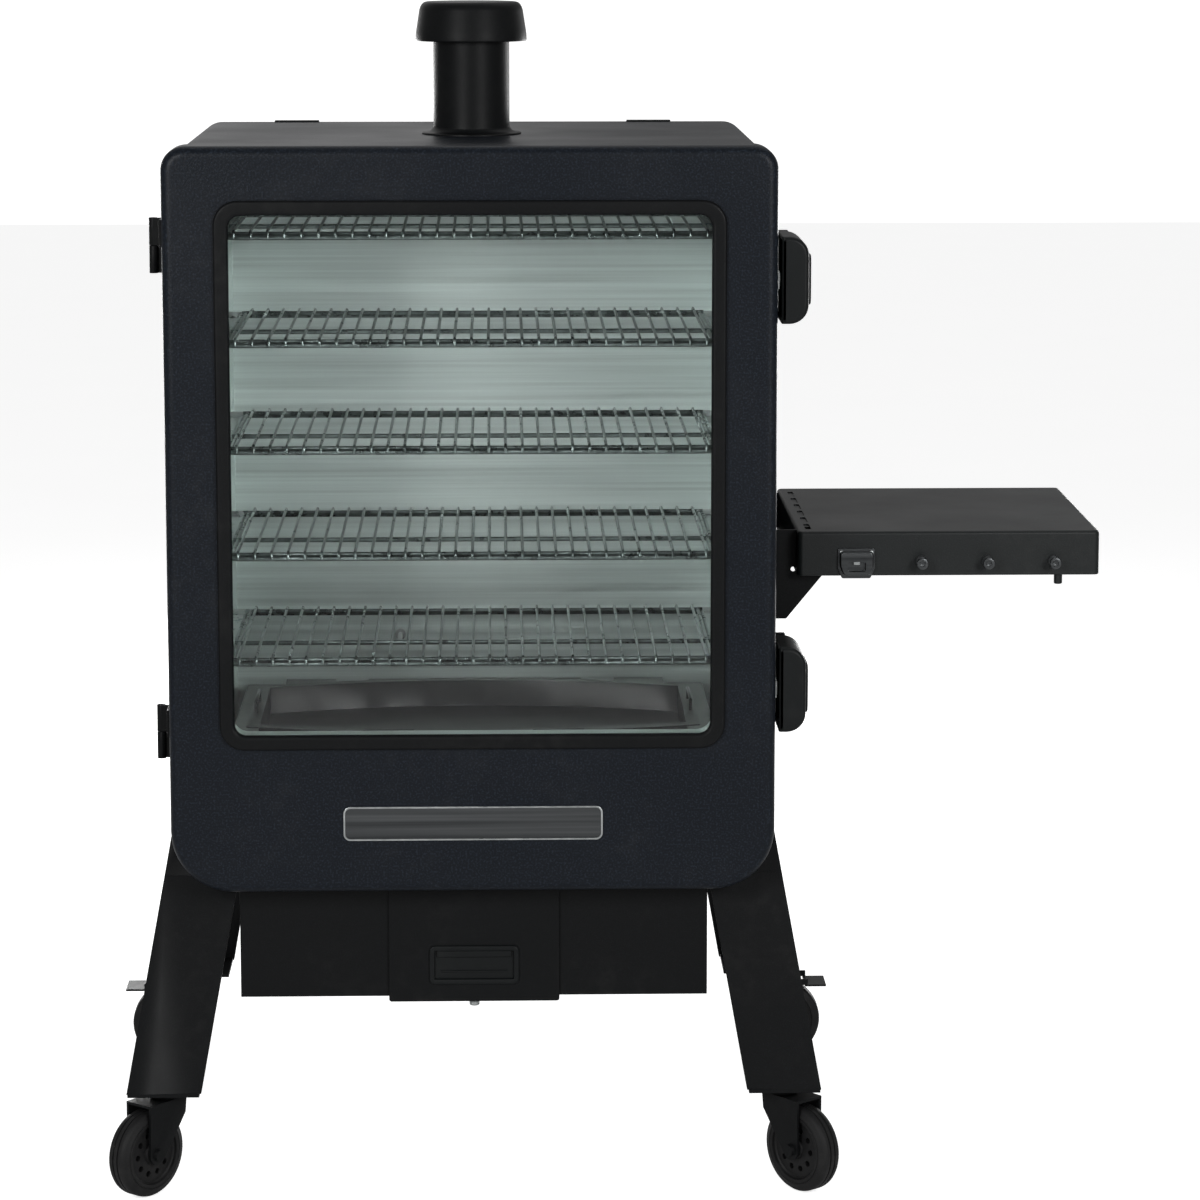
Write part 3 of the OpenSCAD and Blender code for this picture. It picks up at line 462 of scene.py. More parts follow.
def smudge_effect() -> Tree:
    """Handling marks and faint dust: wide soft clouds broken up by a finer one."""
    w, given, out = effect("handling_marks", {"Vector": None, "Scale": 7.0}, ("Mask", "Dust"))
    wide = w.node("TexNoise", None, Vector=given.outputs["Vector"], Scale=given.outputs["Scale"], Detail=4.0)
    fine_scale = w.math("MULTIPLY", given.outputs["Scale"], 9.0)
    fine = w.node("TexNoise", None, Vector=given.outputs["Vector"], Scale=fine_scale, Detail=2.0)
    w.feed(out.inputs["Mask"], w.span(wide.outputs["Fac"], 0.35, 0.68))
    dust = w.math("MULTIPLY", w.span(wide.outputs["Fac"], 0.48, 0.75), w.span(fine.outputs["Fac"], 0.45, 0.8))
    w.feed(out.inputs["Dust"], dust)
    return w.tree


def brush_effect() -> Tree:
    """Brushed lines: noise read in a space already stretched along the lines, in two widths."""
    w, given, out = effect("brushed_lines", {"Vector": None, "Scale": 1.0}, ("Lines", "Height"))
    coarse_scale = w.math("MULTIPLY", given.outputs["Scale"], 0.35)
    fine = w.node("TexNoise", None, Vector=given.outputs["Vector"], Scale=given.outputs["Scale"], Detail=4.0)
    coarse = w.node("TexNoise", None, Vector=given.outputs["Vector"], Scale=coarse_scale, Detail=2.0)
    lines = w.math("ADD", w.math("MULTIPLY", fine.outputs["Fac"], 0.6),
        w.math("MULTIPLY", coarse.outputs["Fac"], 0.4))
    w.feed(out.inputs["Lines"], w.span(lines, 0.36, 0.64))
    w.feed(out.inputs["Height"], fine.outputs["Fac"])
    return w.tree


def fresh(name: str) -> tuple[Material, Wiring, Node, Socket]:
    """A new material, with its wiring, its main shader and the piece's own coordinates."""
    material = bpy.data.materials.new(name)
    material.use_nodes = True
    w = Wiring(material.node_tree)
    return material, w, w.tree.nodes["Principled BSDF"], w.node("TexCoord").outputs["Object"]


@dataclass(frozen=True)
class Effects:
    """The shared effects, each built once."""

    pebble: Tree
    smudge: Tree
    brush: Tree


class Lay(Enum):
    """Direction of a brushed grain, as how much each axis is stretched."""

    SIDEWAYS = (2.5, 260.0, 260.0)
    ALL_WAYS = (90.0, 90.0, 90.0)


@dataclass(frozen=True)
class Finish:
    """A coat of paint, plastic or rubber with a pebbled surface.

    Args:
        name: the material's name.
        colour: main colour, linear.
        fleck: colour of the coat's high spots, linear.
        rough: roughness, and how much handling marks change it.
        coat: weight of a clear gloss layer.
        grain: cells to a metre.
        depth: height of the pebbles in metres.
        dust: how much pale dust lies on it.
        gloss: strength of the surface's own reflection, 0.5 being plain plastic's.
    """

    name: str
    colour: Triple
    fleck: Triple
    rough: Pair = (0.5, 0.1)
    coat: float = 0.0
    grain: float = 600.0
    depth: float = 0.1 * MM
    dust: float = 0.05
    gloss: float = 0.5

    def make(self, effects: Effects) -> Material:
        """Builds the material."""
        material, w, shader, place = fresh(self.name)
        pebble = w.group(effects.pebble, Vector=place, Scale=self.grain)
        smudge = w.group(effects.smudge, Vector=place)
        colour = w.blend(pebble.outputs["Fleck"], (*self.colour, 1), (*self.fleck, 1))
        colour = w.blend(w.math("MULTIPLY", smudge.outputs["Dust"], self.dust), colour, (0.35, 0.34, 0.32, 1))
        w.feed(shader.inputs["Base Color"], colour)
        low, high = self.rough[0] - self.rough[1] / 2, self.rough[0] + self.rough[1] / 2
        w.feed(shader.inputs["Roughness"], w.span(smudge.outputs["Mask"], 0, 1, low, high))
        shader.inputs["Specular IOR Level"].default_value = self.gloss
        shader.inputs["Coat Weight"].default_value = self.coat
        shader.inputs["Coat Roughness"].default_value = 0.12
        bump = w.node("Bump", None, Height=pebble.outputs["Height"], Distance=self.depth, Strength=1.0)
        w.feed(shader.inputs["Normal"], bump.outputs[0])
        return material


@dataclass(frozen=True)
class MetalFinish:
    """Bare or plated metal with brushed lines.

    Args:
        name: the material's name.
        light: colour of the bright lines, linear.
        dark: colour between them, linear.
        lay: direction of the lines.
        rough: lowest and highest roughness.
        depth: height of the lines in metres.
        stain: how much smoke has browned it.
    """

    name: str
    light: Triple
    dark: Triple
    lay: Lay = Lay.ALL_WAYS
    rough: Pair = (0.25, 0.4)
    depth: float = 0.02 * MM
    stain: float = 0.0

    def make(self, effects: Effects) -> Material:
        """Builds the material."""
        material, w, shader, place = fresh(self.name)
        stretched = w.node("Mapping", None, Vector=place, Scale=self.lay.value).outputs[0]
        lines = w.group(effects.brush, Vector=stretched, Scale=1.0)
        smudge = w.group(effects.smudge, Vector=place, Scale=5.0)
        colour = w.blend(lines.outputs["Lines"], (*self.dark, 1), (*self.light, 1))
        stain = w.math("MULTIPLY", smudge.outputs["Mask"], self.stain)
        colour = w.blend(stain, colour, (0.16, 0.1, 0.05, 1))
        w.feed(shader.inputs["Base Color"], colour)
        shader.inputs["Metallic"].default_value = 1.0
        rough = w.math("ADD", w.span(lines.outputs["Lines"], 0, 1, *self.rough),
            w.math("MULTIPLY", smudge.outputs["Mask"], 0.06))
        w.feed(shader.inputs["Roughness"], rough)
        bump = w.node("Bump", None, Height=lines.outputs["Height"], Distance=self.depth, Strength=0.6)
        w.feed(shader.inputs["Normal"], bump.outputs[0])
        return material


@dataclass(frozen=True)
class GlassFinish:
    """Clear window glass with faint smears. Lamps' light passes it unbent."""

    name: str = "window_glass_clear"
    tint: Triple = (0.965, 0.985, 0.98)

    def make(self, effects: Effects) -> Material:
        """Builds the material."""
        material, w, shader, place = fresh(self.name)
        smudge = w.group(effects.smudge, Vector=place, Scale=4.0)
        shader.inputs["Base Color"].default_value = (*self.tint, 1)
        shader.inputs["Transmission Weight"].default_value = 1.0
        shader.inputs["IOR"].default_value = 1.3
        w.feed(shader.inputs["Roughness"], w.span(smudge.outputs["Mask"], 0, 1, 0.0, 0.02))
        clear = w.node("BsdfTransparent", None, Color=(*self.tint, 1))
        path = w.node("LightPath")
        mix = w.node("MixShader", None, Fac=path.outputs["Is Shadow Ray"])
        w.feed(mix.inputs[1], shader.outputs[0])
        w.feed(mix.inputs[2], clear.outputs[0])
        w.feed(w.tree.nodes["Material Output"].inputs["Surface"], mix.outputs[0])
        return material


@dataclass(frozen=True)
class WovenFinish:
    """Fibre: a rope seal's braid or a blanket's felt, from crossed waves bent by noise."""

    name: str
    light: Triple
    dark: Triple
    pitch: float = 260.0
    depth: float = 0.5 * MM

    def make(self, effects: Effects) -> Material:
        """Builds the material."""
        material, w, shader, place = fresh(self.name)
        tilt = w.node("Mapping", None, Vector=place, Rotation=(0.6, 0.8, 0.78)).outputs[0]
        one = w.node("TexWave", {"bands_direction": "X"}, Vector=tilt, Scale=self.pitch, Distortion=1.5)
        two = w.node("TexWave", {"bands_direction": "Z"}, Vector=tilt, Scale=self.pitch, Distortion=1.5)
        braid = w.math("MAXIMUM", one.outputs["Fac"], two.outputs["Fac"])
        w.feed(shader.inputs["Base Color"], w.blend(braid, (*self.dark, 1), (*self.light, 1)))
        w.feed(shader.inputs["Roughness"], w.span(braid, 0, 1, 0.95, 0.8))
        bump = w.node("Bump", None, Height=braid, Distance=self.depth, Strength=0.8)
        w.feed(shader.inputs["Normal"], bump.outputs[0])
        return material


FINISHES = {
    "enamel_shell": Finish(
        "navy_enamel", (0.004, 0.0058, 0.009), (0.0135, 0.0185, 0.027),
        rough=(0.42, 0.08), grain=420, depth=0.2 * MM, dust=0.02, gloss=0.15,
    ),
    "satin_black": Finish(
        "satin_black_paint", (0.0042, 0.0046, 0.005), (0.0072, 0.008, 0.0086),
        rough=(0.45, 0.1), grain=800, depth=0.05 * MM, dust=0.02, gloss=0.11,
    ),
    "shelf_coat": Finish(
        "shelf_coat", (0.0045, 0.006, 0.0063), (0.009, 0.0115, 0.0118),
        rough=(0.45, 0.08), grain=600, depth=0.08 * MM, dust=0.03, gloss=0.3,
    ),
    "black_enamel": Finish(
        "gloss_enamel", (0.003, 0.0035, 0.004), (0.007, 0.0085, 0.009),
        rough=(0.34, 0.12), grain=300, depth=0.008 * MM, dust=0.01, gloss=0.2,
    ),
    "black_plastic": Finish(
        "moulded_plastic", (0.005, 0.006, 0.0063), (0.0085, 0.0098, 0.0104),
        rough=(0.45, 0.1), grain=1100, depth=0.04 * MM, dust=0.02, gloss=0.15,
    ),
    "wheel_rubber": Finish(
        "wheel_rubber", (0.006, 0.006, 0.0063), (0.0105, 0.0105, 0.011),
        rough=(0.6, 0.14), grain=700, depth=0.06 * MM, dust=0.06, gloss=0.25,
    ),
    "silicone": Finish(
        "silicone_seal", (0.015, 0.015, 0.016), (0.02, 0.02, 0.021),
        rough=(0.6, 0.08), grain=900, depth=0.03 * MM, dust=0,
    ),
    "board": Finish(
        "circuit_board", (0.01, 0.09, 0.035), (0.03, 0.14, 0.06),
        rough=(0.35, 0.1), coat=0.3, grain=500, depth=0.05 * MM, dust=0,
    ),
    "stainless": MetalFinish(
        "brushed_stainless", (0.7, 0.775, 0.755), (0.54, 0.6, 0.585),
        lay=Lay.SIDEWAYS, rough=(0.32, 0.44), depth=0.03 * MM, stain=0.04,
    ),
    "zinc": MetalFinish(
        "bright_zinc", (0.5, 0.52, 0.52), (0.34, 0.36, 0.36),
        lay=Lay.ALL_WAYS, rough=(0.24, 0.4),
    ),
    # plated wire colours set far darker than bright plating: painted shade standing in for the dark surroundings
    # the wires reflect
    "wire_chrome": MetalFinish(
        "plated_wire_painted_shade", (0.2, 0.235, 0.23), (0.1, 0.12, 0.117),
        lay=Lay.ALL_WAYS, rough=(0.22, 0.34),
    ),
    "heater": MetalFinish(
        "oxidised_heater", (0.12, 0.1, 0.09), (0.05, 0.045, 0.042),
        lay=Lay.ALL_WAYS, rough=(0.4, 0.6), depth=0.05 * MM, stain=0.4,
    ),
    "wool": WovenFinish(
        "mineral_wool", (0.55, 0.5, 0.38), (0.3, 0.27, 0.2),
        pitch=160.0, depth=1.5 * MM,
    ),
    "rope_seal": WovenFinish(
        "rope_seal", (0.09, 0.09, 0.088), (0.02, 0.02, 0.02),
    ),
    "glass": GlassFinish(),
    "dark_steel": MetalFinish(
        "dark_steel", (0.1, 0.105, 0.108), (0.05, 0.053, 0.055),
        lay=Lay.SIDEWAYS, rough=(0.28, 0.4),
    ),
}


class Wardrobe:
    """Every finish by the record's slot name."""

    def __init__(self) -> None:
        """Builds the shared effects and then each material."""
        effects = Effects(pebble_effect(), smudge_effect(), brush_effect())
        self.made = {slot: finish.make(effects) for slot, finish in FINISHES.items()}
        self.slots = {part["node"]: part["material_slot"] for part in frame["record"]["subparts"]}

    def of(self, slot: str) -> Material:
        """The material of a slot."""
        return self.made[slot]

    def show(self, name: str, solid: Solid, body: str, *nodes: str, crease: float = 34) -> Piece:
        """Shows a new piece in the finish of the first CAD node it stands for."""
        slot = self.slots[nodes[0]]
        return show(name, solid, body, slot, self.of(slot), *nodes, crease=crease)

    def soften(self, edge: float, *nodes: str) -> None:
        """Dresses CAD nodes in their own slots' finishes, with edges rounded by edge."""
        for node in nodes:
            soften(node, self.of(self.slots[node]), edge)

    def show_mesh(self, name: str, mesh: Mesh, body: str, *nodes: str, crease: float = 34) -> Piece:
        """Shows a carved mesh in the finish of the first CAD node it stands for."""
        slot = self.slots[nodes[0]]
        mesh.materials.clear()
        return settle(name, mesh, body, slot, self.of(slot), *nodes, crease=crease)


# ---------------------------------------------------------------- camera and light
@dataclass(frozen=True)
class Studio:
    """Floor, lamps, backdrop and the camera in front of the door.

    Args:
        lens: focal length in millimetres on the 36 mm sensor.
        pitch: downward tilt in degrees.
        yaw: turn to the right in degrees.
        shift: upward lens shift as a share of the picture.
        place: camera position from the door's front middle at floor level.
        room: strength of the surround in front of and behind the object.
        floor_glow: how much the floor shines towards the camera.
        floor_reach: distance from the middle of the floor to its sides.
        white: strength of the surround as the camera sees it.
        sensor: width of the camera's sensor in millimetres.
    """

    lens: float = 119.29
    pitch: float = 8.618
    yaw: float = 1.498
    shift: float = -0.08
    place: Triple = (0.0292, -4.498, 1.509)
    room: Pair = (0.22, 0.34)
    floor_glow: float = 0.7
    floor_reach: float = 14.0
    white: float = 1.2
    sensor: float = 36.0

    def camera(self) -> None:
        """Sets up the camera."""
        lo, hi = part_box("door_outer_skin")
        data = bpy.data.cameras.new("camera")
        data.lens, data.sensor_width, data.shift_y = self.lens, self.sensor, self.shift
        data.clip_start, data.clip_end = 0.05, 80
        camera = bpy.data.objects.new("camera", data)
        camera.location = ((lo.x + hi.x) / 2 + self.place[0], lo.y + self.place[1], self.place[2])
        camera.rotation_euler = (math.radians(90 - self.pitch), 0, math.radians(-self.yaw))
        bpy.context.scene.collection.objects.link(camera)
        bpy.context.scene.camera = camera

    def lamp(self, name: str, place: Triple, aim: Triple, size: Pair, power: float) -> None:
        """Adds a soft rectangular lamp.

        Args:
            name: the lamp's name.
            place: where it stands.
            aim: the point it faces.
            size: its width and height in metres.
            power: its power in watts.
        """
        data = bpy.data.lights.new(name, "AREA")
        data.shape, data.size, data.size_y, data.energy = "RECTANGLE", size[0], size[1], power
        lamp = bpy.data.objects.new(name, data)
        lamp.location = place
        lamp.rotation_euler = (Vector(aim) - Vector(place)).to_track_quat("-Z", "Y").to_euler()
        lamp.visible_camera = False
        bpy.context.scene.collection.objects.link(lamp)

    def backdrop(self) -> None:
        """Pale floor and a surround, brighter behind the object than in front, white to the camera."""
        world = bpy.data.worlds.new("white_room")
        world.use_nodes = True
        w = Wiring(world.node_tree)
        path = w.node("LightPath")
        toward = w.node("SeparateXYZ", None, Vector=w.node("TexCoord").outputs["Generated"])
        ground = w.tree.nodes["Background"]
        ground.inputs["Color"].default_value = WHITE
        room = w.span(toward.outputs["Y"], -0.7, 0.9, self.room[0], self.room[1])
        seen = w.node("Mix", {"data_type": "FLOAT"})
        w.feed(seen.inputs[0], path.outputs["Is Camera Ray"])
        w.feed(seen.inputs[2], room)
        w.feed(seen.inputs[3], self.white)
        w.feed(ground.inputs["Strength"], seen.outputs[0])
        bpy.context.scene.world = world
        mesh = bpy.data.meshes.new("floor")
        reach = self.floor_reach
        corners = [(-reach, -reach, 0), (reach, -reach, 0), (reach, reach, 0), (-reach, reach, 0)]
        mesh.from_pydata(corners, [], [(0, 1, 2, 3)])
        floor = bpy.data.objects.new("floor", mesh)
        pale, f, shader, place = fresh("pale_floor")
        cloud = f.node("TexNoise", None, Vector=place, Scale=3.0)
        f.feed(shader.inputs["Base Color"], f.blend(cloud.outputs["Fac"], (0.78, 0.78, 0.78, 1),
            (0.82, 0.82, 0.82, 1)))
        shader.inputs["Roughness"].default_value = 0.9
        shader.inputs["Specular IOR Level"].default_value = 0.1
        shader.inputs["Emission Color"].default_value = WHITE
        f.feed(shader.inputs["Emission Strength"], f.span(f.node("LightPath").outputs["Is Camera Ray"], 0, 1,
            0, self.floor_glow))
        mesh.materials.append(pale)
        bpy.context.scene.collection.objects.link(floor)

    def build(self) -> None:
        """Sets the whole studio up."""
        self.camera()
        self.backdrop()
        view = bpy.context.scene.view_settings
        view.view_transform = "Standard"
        self.lamp("left", (-1.75, -3.2, 1.8), (-0.05, 0.1, 0.95), (0.9, 1.0), 58)
        self.lamp("right", (1.75, -3.2, 1.75), (-0.1, 0.1, 0.95), (0.9, 1.0), 54)
        self.lamp("top", (0.2, 0.8, 3.4), (0, 0, 0.8), (3.0, 2.4), 17)
        self.lamp("back", (-1.2, 3.4, 2.4), (0, 0, 0.8), (2.6, 2.0), 8)
        self.lamp("rear_low", (-1.6, 3.2, 0.75), (0, 0.3, 0.8), (1.6, 0.9), 62)
        self.lamp("rear_side", (2.0, 3.0, 0.7), (0, 0.3, 0.8), (1.4, 0.9), 50)


# ---------------------------------------------------------------- door
@dataclass
class Door:
    """The insulated door with its raised window frame, glass, blank plate and seal."""

    wardrobe: Wardrobe
    edge: float = 11 * MM
    sheet: float = 1.5 * MM
    corner_top: float = 28 * MM
    corner_bottom: float = 72 * MM
    bezel_corner: float = 28 * MM
    bezel_bar: float = 17 * MM

    def outline(self, depth: float) -> Loop:
        """The door's outline, inset by depth."""
        lo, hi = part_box("door_outer_skin")
        low, top = max(self.corner_bottom - depth, 0), max(self.corner_top - depth, 0)
        return rounded(lo.x + depth, hi.x - depth, lo.z + depth, hi.z - depth, (low, top, top, low), 14)

    def window(self, depth: float) -> Loop:
        """The window frame's outline, inset by depth, with slightly fuller corners inside."""
        lo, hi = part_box("window_frame")
        r = max(self.bezel_corner - depth * 0.82, 2 * MM)
        return rounded(lo.x + depth, hi.x - depth, lo.z + depth, hi.z - depth, r, 14)

    def skin(self) -> None:
        """Pillowed outer skin: a rounded rim round a flat front, open at the window, as one sheet."""
        lo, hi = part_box("door_outer_skin")
        front, back = lo.y, hi.y
        hole = 7 * MM
        rim = quarter(self.edge, 7)
        rows = [at_y(self.outline(0), y) for y in (back, (back + front) / 2)]
        rows += [at_y(self.outline(d), front + h) for d, h in rim[::-1]]
        rows += [at_y(self.outline(self.edge + 2 * MM), front)]
        rows += [at_y(self.window(hole), front), at_y(self.window(hole), front + self.sheet)]
        inner = quarter(self.edge - self.sheet, 7)
        rows += [at_y(self.outline(self.sheet + d), front + self.sheet + h) for d, h in inner]
        rows += [at_y(self.outline(self.sheet), back)]
        self.wardrobe.show("door_skin", loft(np.array(rows), ring=True), "door", "door_outer_skin", crease=50)

    def bezel(self) -> None:
        """Raised window frame: a soft-shouldered bar carried round the window, its clamping lip behind."""
        lo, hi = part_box("window_frame")
        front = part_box("door_outer_skin")[0].y
        rise, bar = lo.y - front, self.bezel_bar
        t = np.linspace(0, np.pi / 2, 6)
        outer = np.stack([(1 - np.cos(t)) * 3.2 * MM, rise + (1 - np.sin(t)) * 3.2 * MM], 1)
        inner = np.stack([bar - (1 - np.sin(t)) * 4.5 * MM, rise + (1 - np.cos(t)) * 4.5 * MM], 1)
        section = np.concatenate([[[0, 0]], outer, [[6 * MM, rise]], inner,
            [[bar, 1.2 * MM], [10.6 * MM, 1.2 * MM],
            [10.6 * MM, hi.y - front], [8.2 * MM, hi.y - front], [8.2 * MM, 0]]])
        rows = [at_y(self.window(d), front + y) for d, y in section]
        self.wardrobe.show("window_bezel", loft(np.array(rows), ring=True), "door", "window_frame", crease=50)

    def glass(self) -> None:
        """The pane, with ground edges."""
        lo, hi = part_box("window_glass")
        loop = rounded(lo.x, hi.x, lo.z, hi.z, 20 * MM, 10)
        self.wardrobe.show("pane", slab(loop, lo.y, hi.y, 0.6 * MM, at_y, 2), "door", "window_glass")

    def plate(self) -> None:
        """Blank plate with a raised border where a maker's sign would be."""
        lo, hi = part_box("name_badge")
        loop = rounded(lo.x, hi.x, lo.z, hi.z, 8 * MM, 8)
        section = ((0, hi.y), (0, lo.y + 0.6 * MM), (0.2 * MM, lo.y + 0.2 * MM), (0.7 * MM, lo.y),
            (1.7 * MM, lo.y),
            (2.2 * MM, lo.y + 0.5 * MM), (2.4 * MM, hi.y))
        border = loft(np.array([at_y(inset(loop, d), y) for d, y in section]), ring=True)
        self.wardrobe.show("blank_plate_border", border, "door", "name_badge")
        blank = slab(inset(loop, 2.3 * MM), lo.y + 0.7 * MM, hi.y, 0.2 * MM, at_y)
        show("blank_plate", blank, "door", "zinc", self.wardrobe.of("dark_steel"), "name_badge")

    def seal(self) -> None:
        """Rope seal: a round cord carried round the cooking chamber's mouth."""
        lo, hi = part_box("door_gasket")
        half = (hi.y - lo.y) / 2
        wide = 5.6 * MM
        line = rounded(lo.x + wide, hi.x - wide, lo.z + wide, hi.z - wide, 22 * MM, 10)
        t = np.linspace(0, 2 * np.pi, 14, endpoint=False)
        rows = [at_y(inset(line, wide * math.cos(a)), (lo.y + hi.y) / 2 + half * math.sin(a)) for a in t]
        self.wardrobe.show("door_seal", loft(np.array(rows), ring=True), "cabinet", "door_gasket")

    def build(self) -> None:
        """Makes every piece of the door."""
        self.skin()
        self.bezel()
        self.glass()
        self.plate()
        self.seal()
        self.wardrobe.soften(0.3 * MM, "door_inner_skin", "glass_gasket")
        self.wardrobe.soften(0.8 * MM, "hinge_straps", "door_catches")


# ---------------------------------------------------------------- cabinet
@dataclass
class Cabinet:
    """Shell, liner and back of the cabinet."""

    wardrobe: Wardrobe
    sheet: float = 1.5 * MM
    corner_top: float = 27 * MM
    corner_bottom: float = 60 * MM
    lip: float = 3 * MM

    def shell(self) -> None:
        """Wrapped shell: one sheet round the cabinet, turned in at the front with a rounded lip."""
        lo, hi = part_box("outer_shell")

        def wrap(depth: float) -> Loop:
            """The shell's outline, inset by depth."""
            low, top = self.corner_bottom - depth, self.corner_top - depth
            return rounded(lo.x + depth, hi.x - depth, lo.z + depth, hi.z - depth, (low, top, top, low), 12)

        wall = 40 * MM
        top_wall, bottom_wall = 42 * MM, 50 * MM
        mouth = rounded(lo.x + wall, hi.x - wall, lo.z + bottom_wall, hi.z - top_wall, 12 * MM, 12)
        rows = [at_y(wrap(0), hi.y)]
        rows += [at_y(wrap(d), lo.y + h) for d, h in quarter(self.lip, 4)[::-1]]
        rows += [at_y(mouth, lo.y), at_y(mouth, lo.y + self.sheet)]
        rows += [at_y(wrap(self.lip), lo.y + self.sheet), at_y(wrap(self.sheet), lo.y + self.lip),
            at_y(wrap(self.sheet), hi.y)]
        self.wardrobe.show("cabinet_shell", loft(np.array(rows), ring=True), "cabinet", "outer_shell",
            crease=50)

    def build(self) -> None:
        """Makes the shell and dresses the rest."""
        self.shell()
        edges = {
            0.0: ("liner", "insulation", "back_panel", "heating_element", "temperature_probe"),
            0.3: ("flue_spindle", "control_board"),
            0.4: ("rack_rails", "chip_tray"),
            0.5: ("drip_pan", "leg_bolts"),
            0.6: ("heat_deflector", "power_inlet"),
            0.8: ("hinge_brackets", "shelf_brackets", "base_skirt"),
            1.0: ("latch_bases", "control_housing"),
        }
        for edge, nodes in edges.items():
            self.wardrobe.soften(edge * MM, *nodes)


@dataclass
class WireRack:
    """A rack of round cross wires bent down over heavier frame wires."""

    wardrobe: Wardrobe
    node: str
    wires: int = 29
    wire: float = 1.8 * MM
    frame_wire: float = 2.8 * MM

    def build(self) -> None:
        """Makes the rack: wires along the depth, a closed frame wire, and rails under them."""
        lo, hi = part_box(self.node)
        top, r, big = hi.z - self.wire, self.wire, self.frame_wire
        low = lo.z + big
        front, back = lo.y + r, hi.y - r
        reach = (hi.x - lo.x) / 2 - 15.6 * MM
        middle = (lo.x + hi.x) / 2
        path = filleted([(0, front, low), (0, front, top), (0, back, top), (0, back, low)], 5 * MM, 4,
            closed=False)
        one = tube(path, (1, 0, 0), r, 8)
        columns = np.linspace(-reach, reach, self.wires)
        parts = [one.moved(np.eye(3), np.array([middle + x, 0, 0])) for x in columns]
        edge = big + 2 * r - 0.6 * MM
        hoop = rounded(lo.x + big, hi.x - big, lo.y + edge, hi.y - edge, 16 * MM, 6)
        parts.append(tube(at_z(hoop, low), UP, big, 10, closed=True))
        for y in (front + 11 * MM, lo.y + (hi.y - lo.y) * 0.34 + big, back - 11 * MM):
            rail = [(lo.x + big, y, top - r - big + 0.4 * MM), (hi.x - big, y, top - r - big + 0.4 * MM)]
            parts.append(tube(np.array(rail), UP, big, 10))
        for x in (lo.x + 3 * big, hi.x - 3 * big):
            side = [(x, front + 11 * MM, top - r - big + 0.4 * MM),
                (x, back - 11 * MM, top - r - big + 0.4 * MM)]
            parts.append(tube(np.array(side), UP, big * 0.8, 10))
        self.wardrobe.show(self.node + "_wires", joined(*parts), self.node, self.node)


@dataclass
class Flue:
    """Flue pipe with its flange and the cap that screws up and down over it."""

    wardrobe: Wardrobe

    def build(self) -> None:
        """Turns the pipe and the cap on a lathe, with rolled rims."""
        lo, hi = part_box("flue_pipe")
        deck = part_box("outer_shell")[1].z
        x, y = (lo.x + hi.x) / 2, (lo.y + hi.y) / 2
        flange, pipe = (hi.x - lo.x) / 2, 46 * MM
        outside = [(pipe, lo.z - hi.z), (pipe, deck - hi.z - 0.2 * MM), (flange, deck - hi.z),
            (flange, deck - hi.z + 1.6 * MM),
            (flange - 1 * MM, deck - hi.z + 2.5 * MM), (pipe + 8 * MM, deck - hi.z + 2.8 * MM),
            (pipe + 4 * MM, deck - hi.z + 4 * MM),
            (pipe + 1.6 * MM, deck - hi.z + 6.5 * MM), (pipe, deck - hi.z + 9 * MM), (pipe, -30 * MM),
            (pipe, -1 * MM),
            (pipe - 0.4 * MM, -0.2 * MM), (pipe - 0.9 * MM, 0), (pipe - 1.5 * MM, -0.6 * MM),
            (pipe - 1.5 * MM, lo.z - hi.z)]
        self.wardrobe.show("flue_tube", lathe(outside, (x, y, hi.z), UP, 96, ring=True), "cabinet",
            "flue_pipe", crease=40)
        lo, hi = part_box("flue_cap")
        wide, tall = (hi.x - lo.x) / 2, hi.z - lo.z
        wall = 1.5 * MM
        shell = np.array([(0.2 * MM, tall), (wide - 14 * MM, tall), (wide - 10.5 * MM, tall - 0.8 * MM),
            (wide - 7.8 * MM, tall - 3 * MM),
            (wide - 6 * MM, tall - 6 * MM), (wide - 4.6 * MM, tall - 10 * MM), (wide - 0.9 * MM, 13 * MM),
            (wide - 0.2 * MM, 8 * MM),
            (wide, 2.2 * MM), (wide - 0.1 * MM, 0.9 * MM), (wide - 0.7 * MM, 0.1 * MM)])
        within = np.array([(wide - wall - 0.5 * MM, 0.6 * MM), (wide - wall - 0.6 * MM, 8 * MM),
            (wide - wall - 1.4 * MM, 13 * MM),
            (wide - wall - 5 * MM, tall - 10.5 * MM), (wide - wall - 8.6 * MM, tall - 4 * MM),
            (wide - wall - 13 * MM, tall - wall - 0.3 * MM),
            (10.5 * MM, tall - wall - 0.3 * MM), (9 * MM, tall - 5 * MM), (9 * MM, 10 * MM),
            (8 * MM, 9 * MM), (4.05 * MM, 9 * MM),
            (4.05 * MM, tall - 2 * MM), (0.2 * MM, tall - 2 * MM)])
        cap = lathe(np.concatenate([shell, within]), ((lo.x + hi.x) / 2, (lo.y + hi.y) / 2, lo.z), UP, 96)
        self.wardrobe.show("flue_hat", cap, "flue_cap", "flue_cap", crease=40)


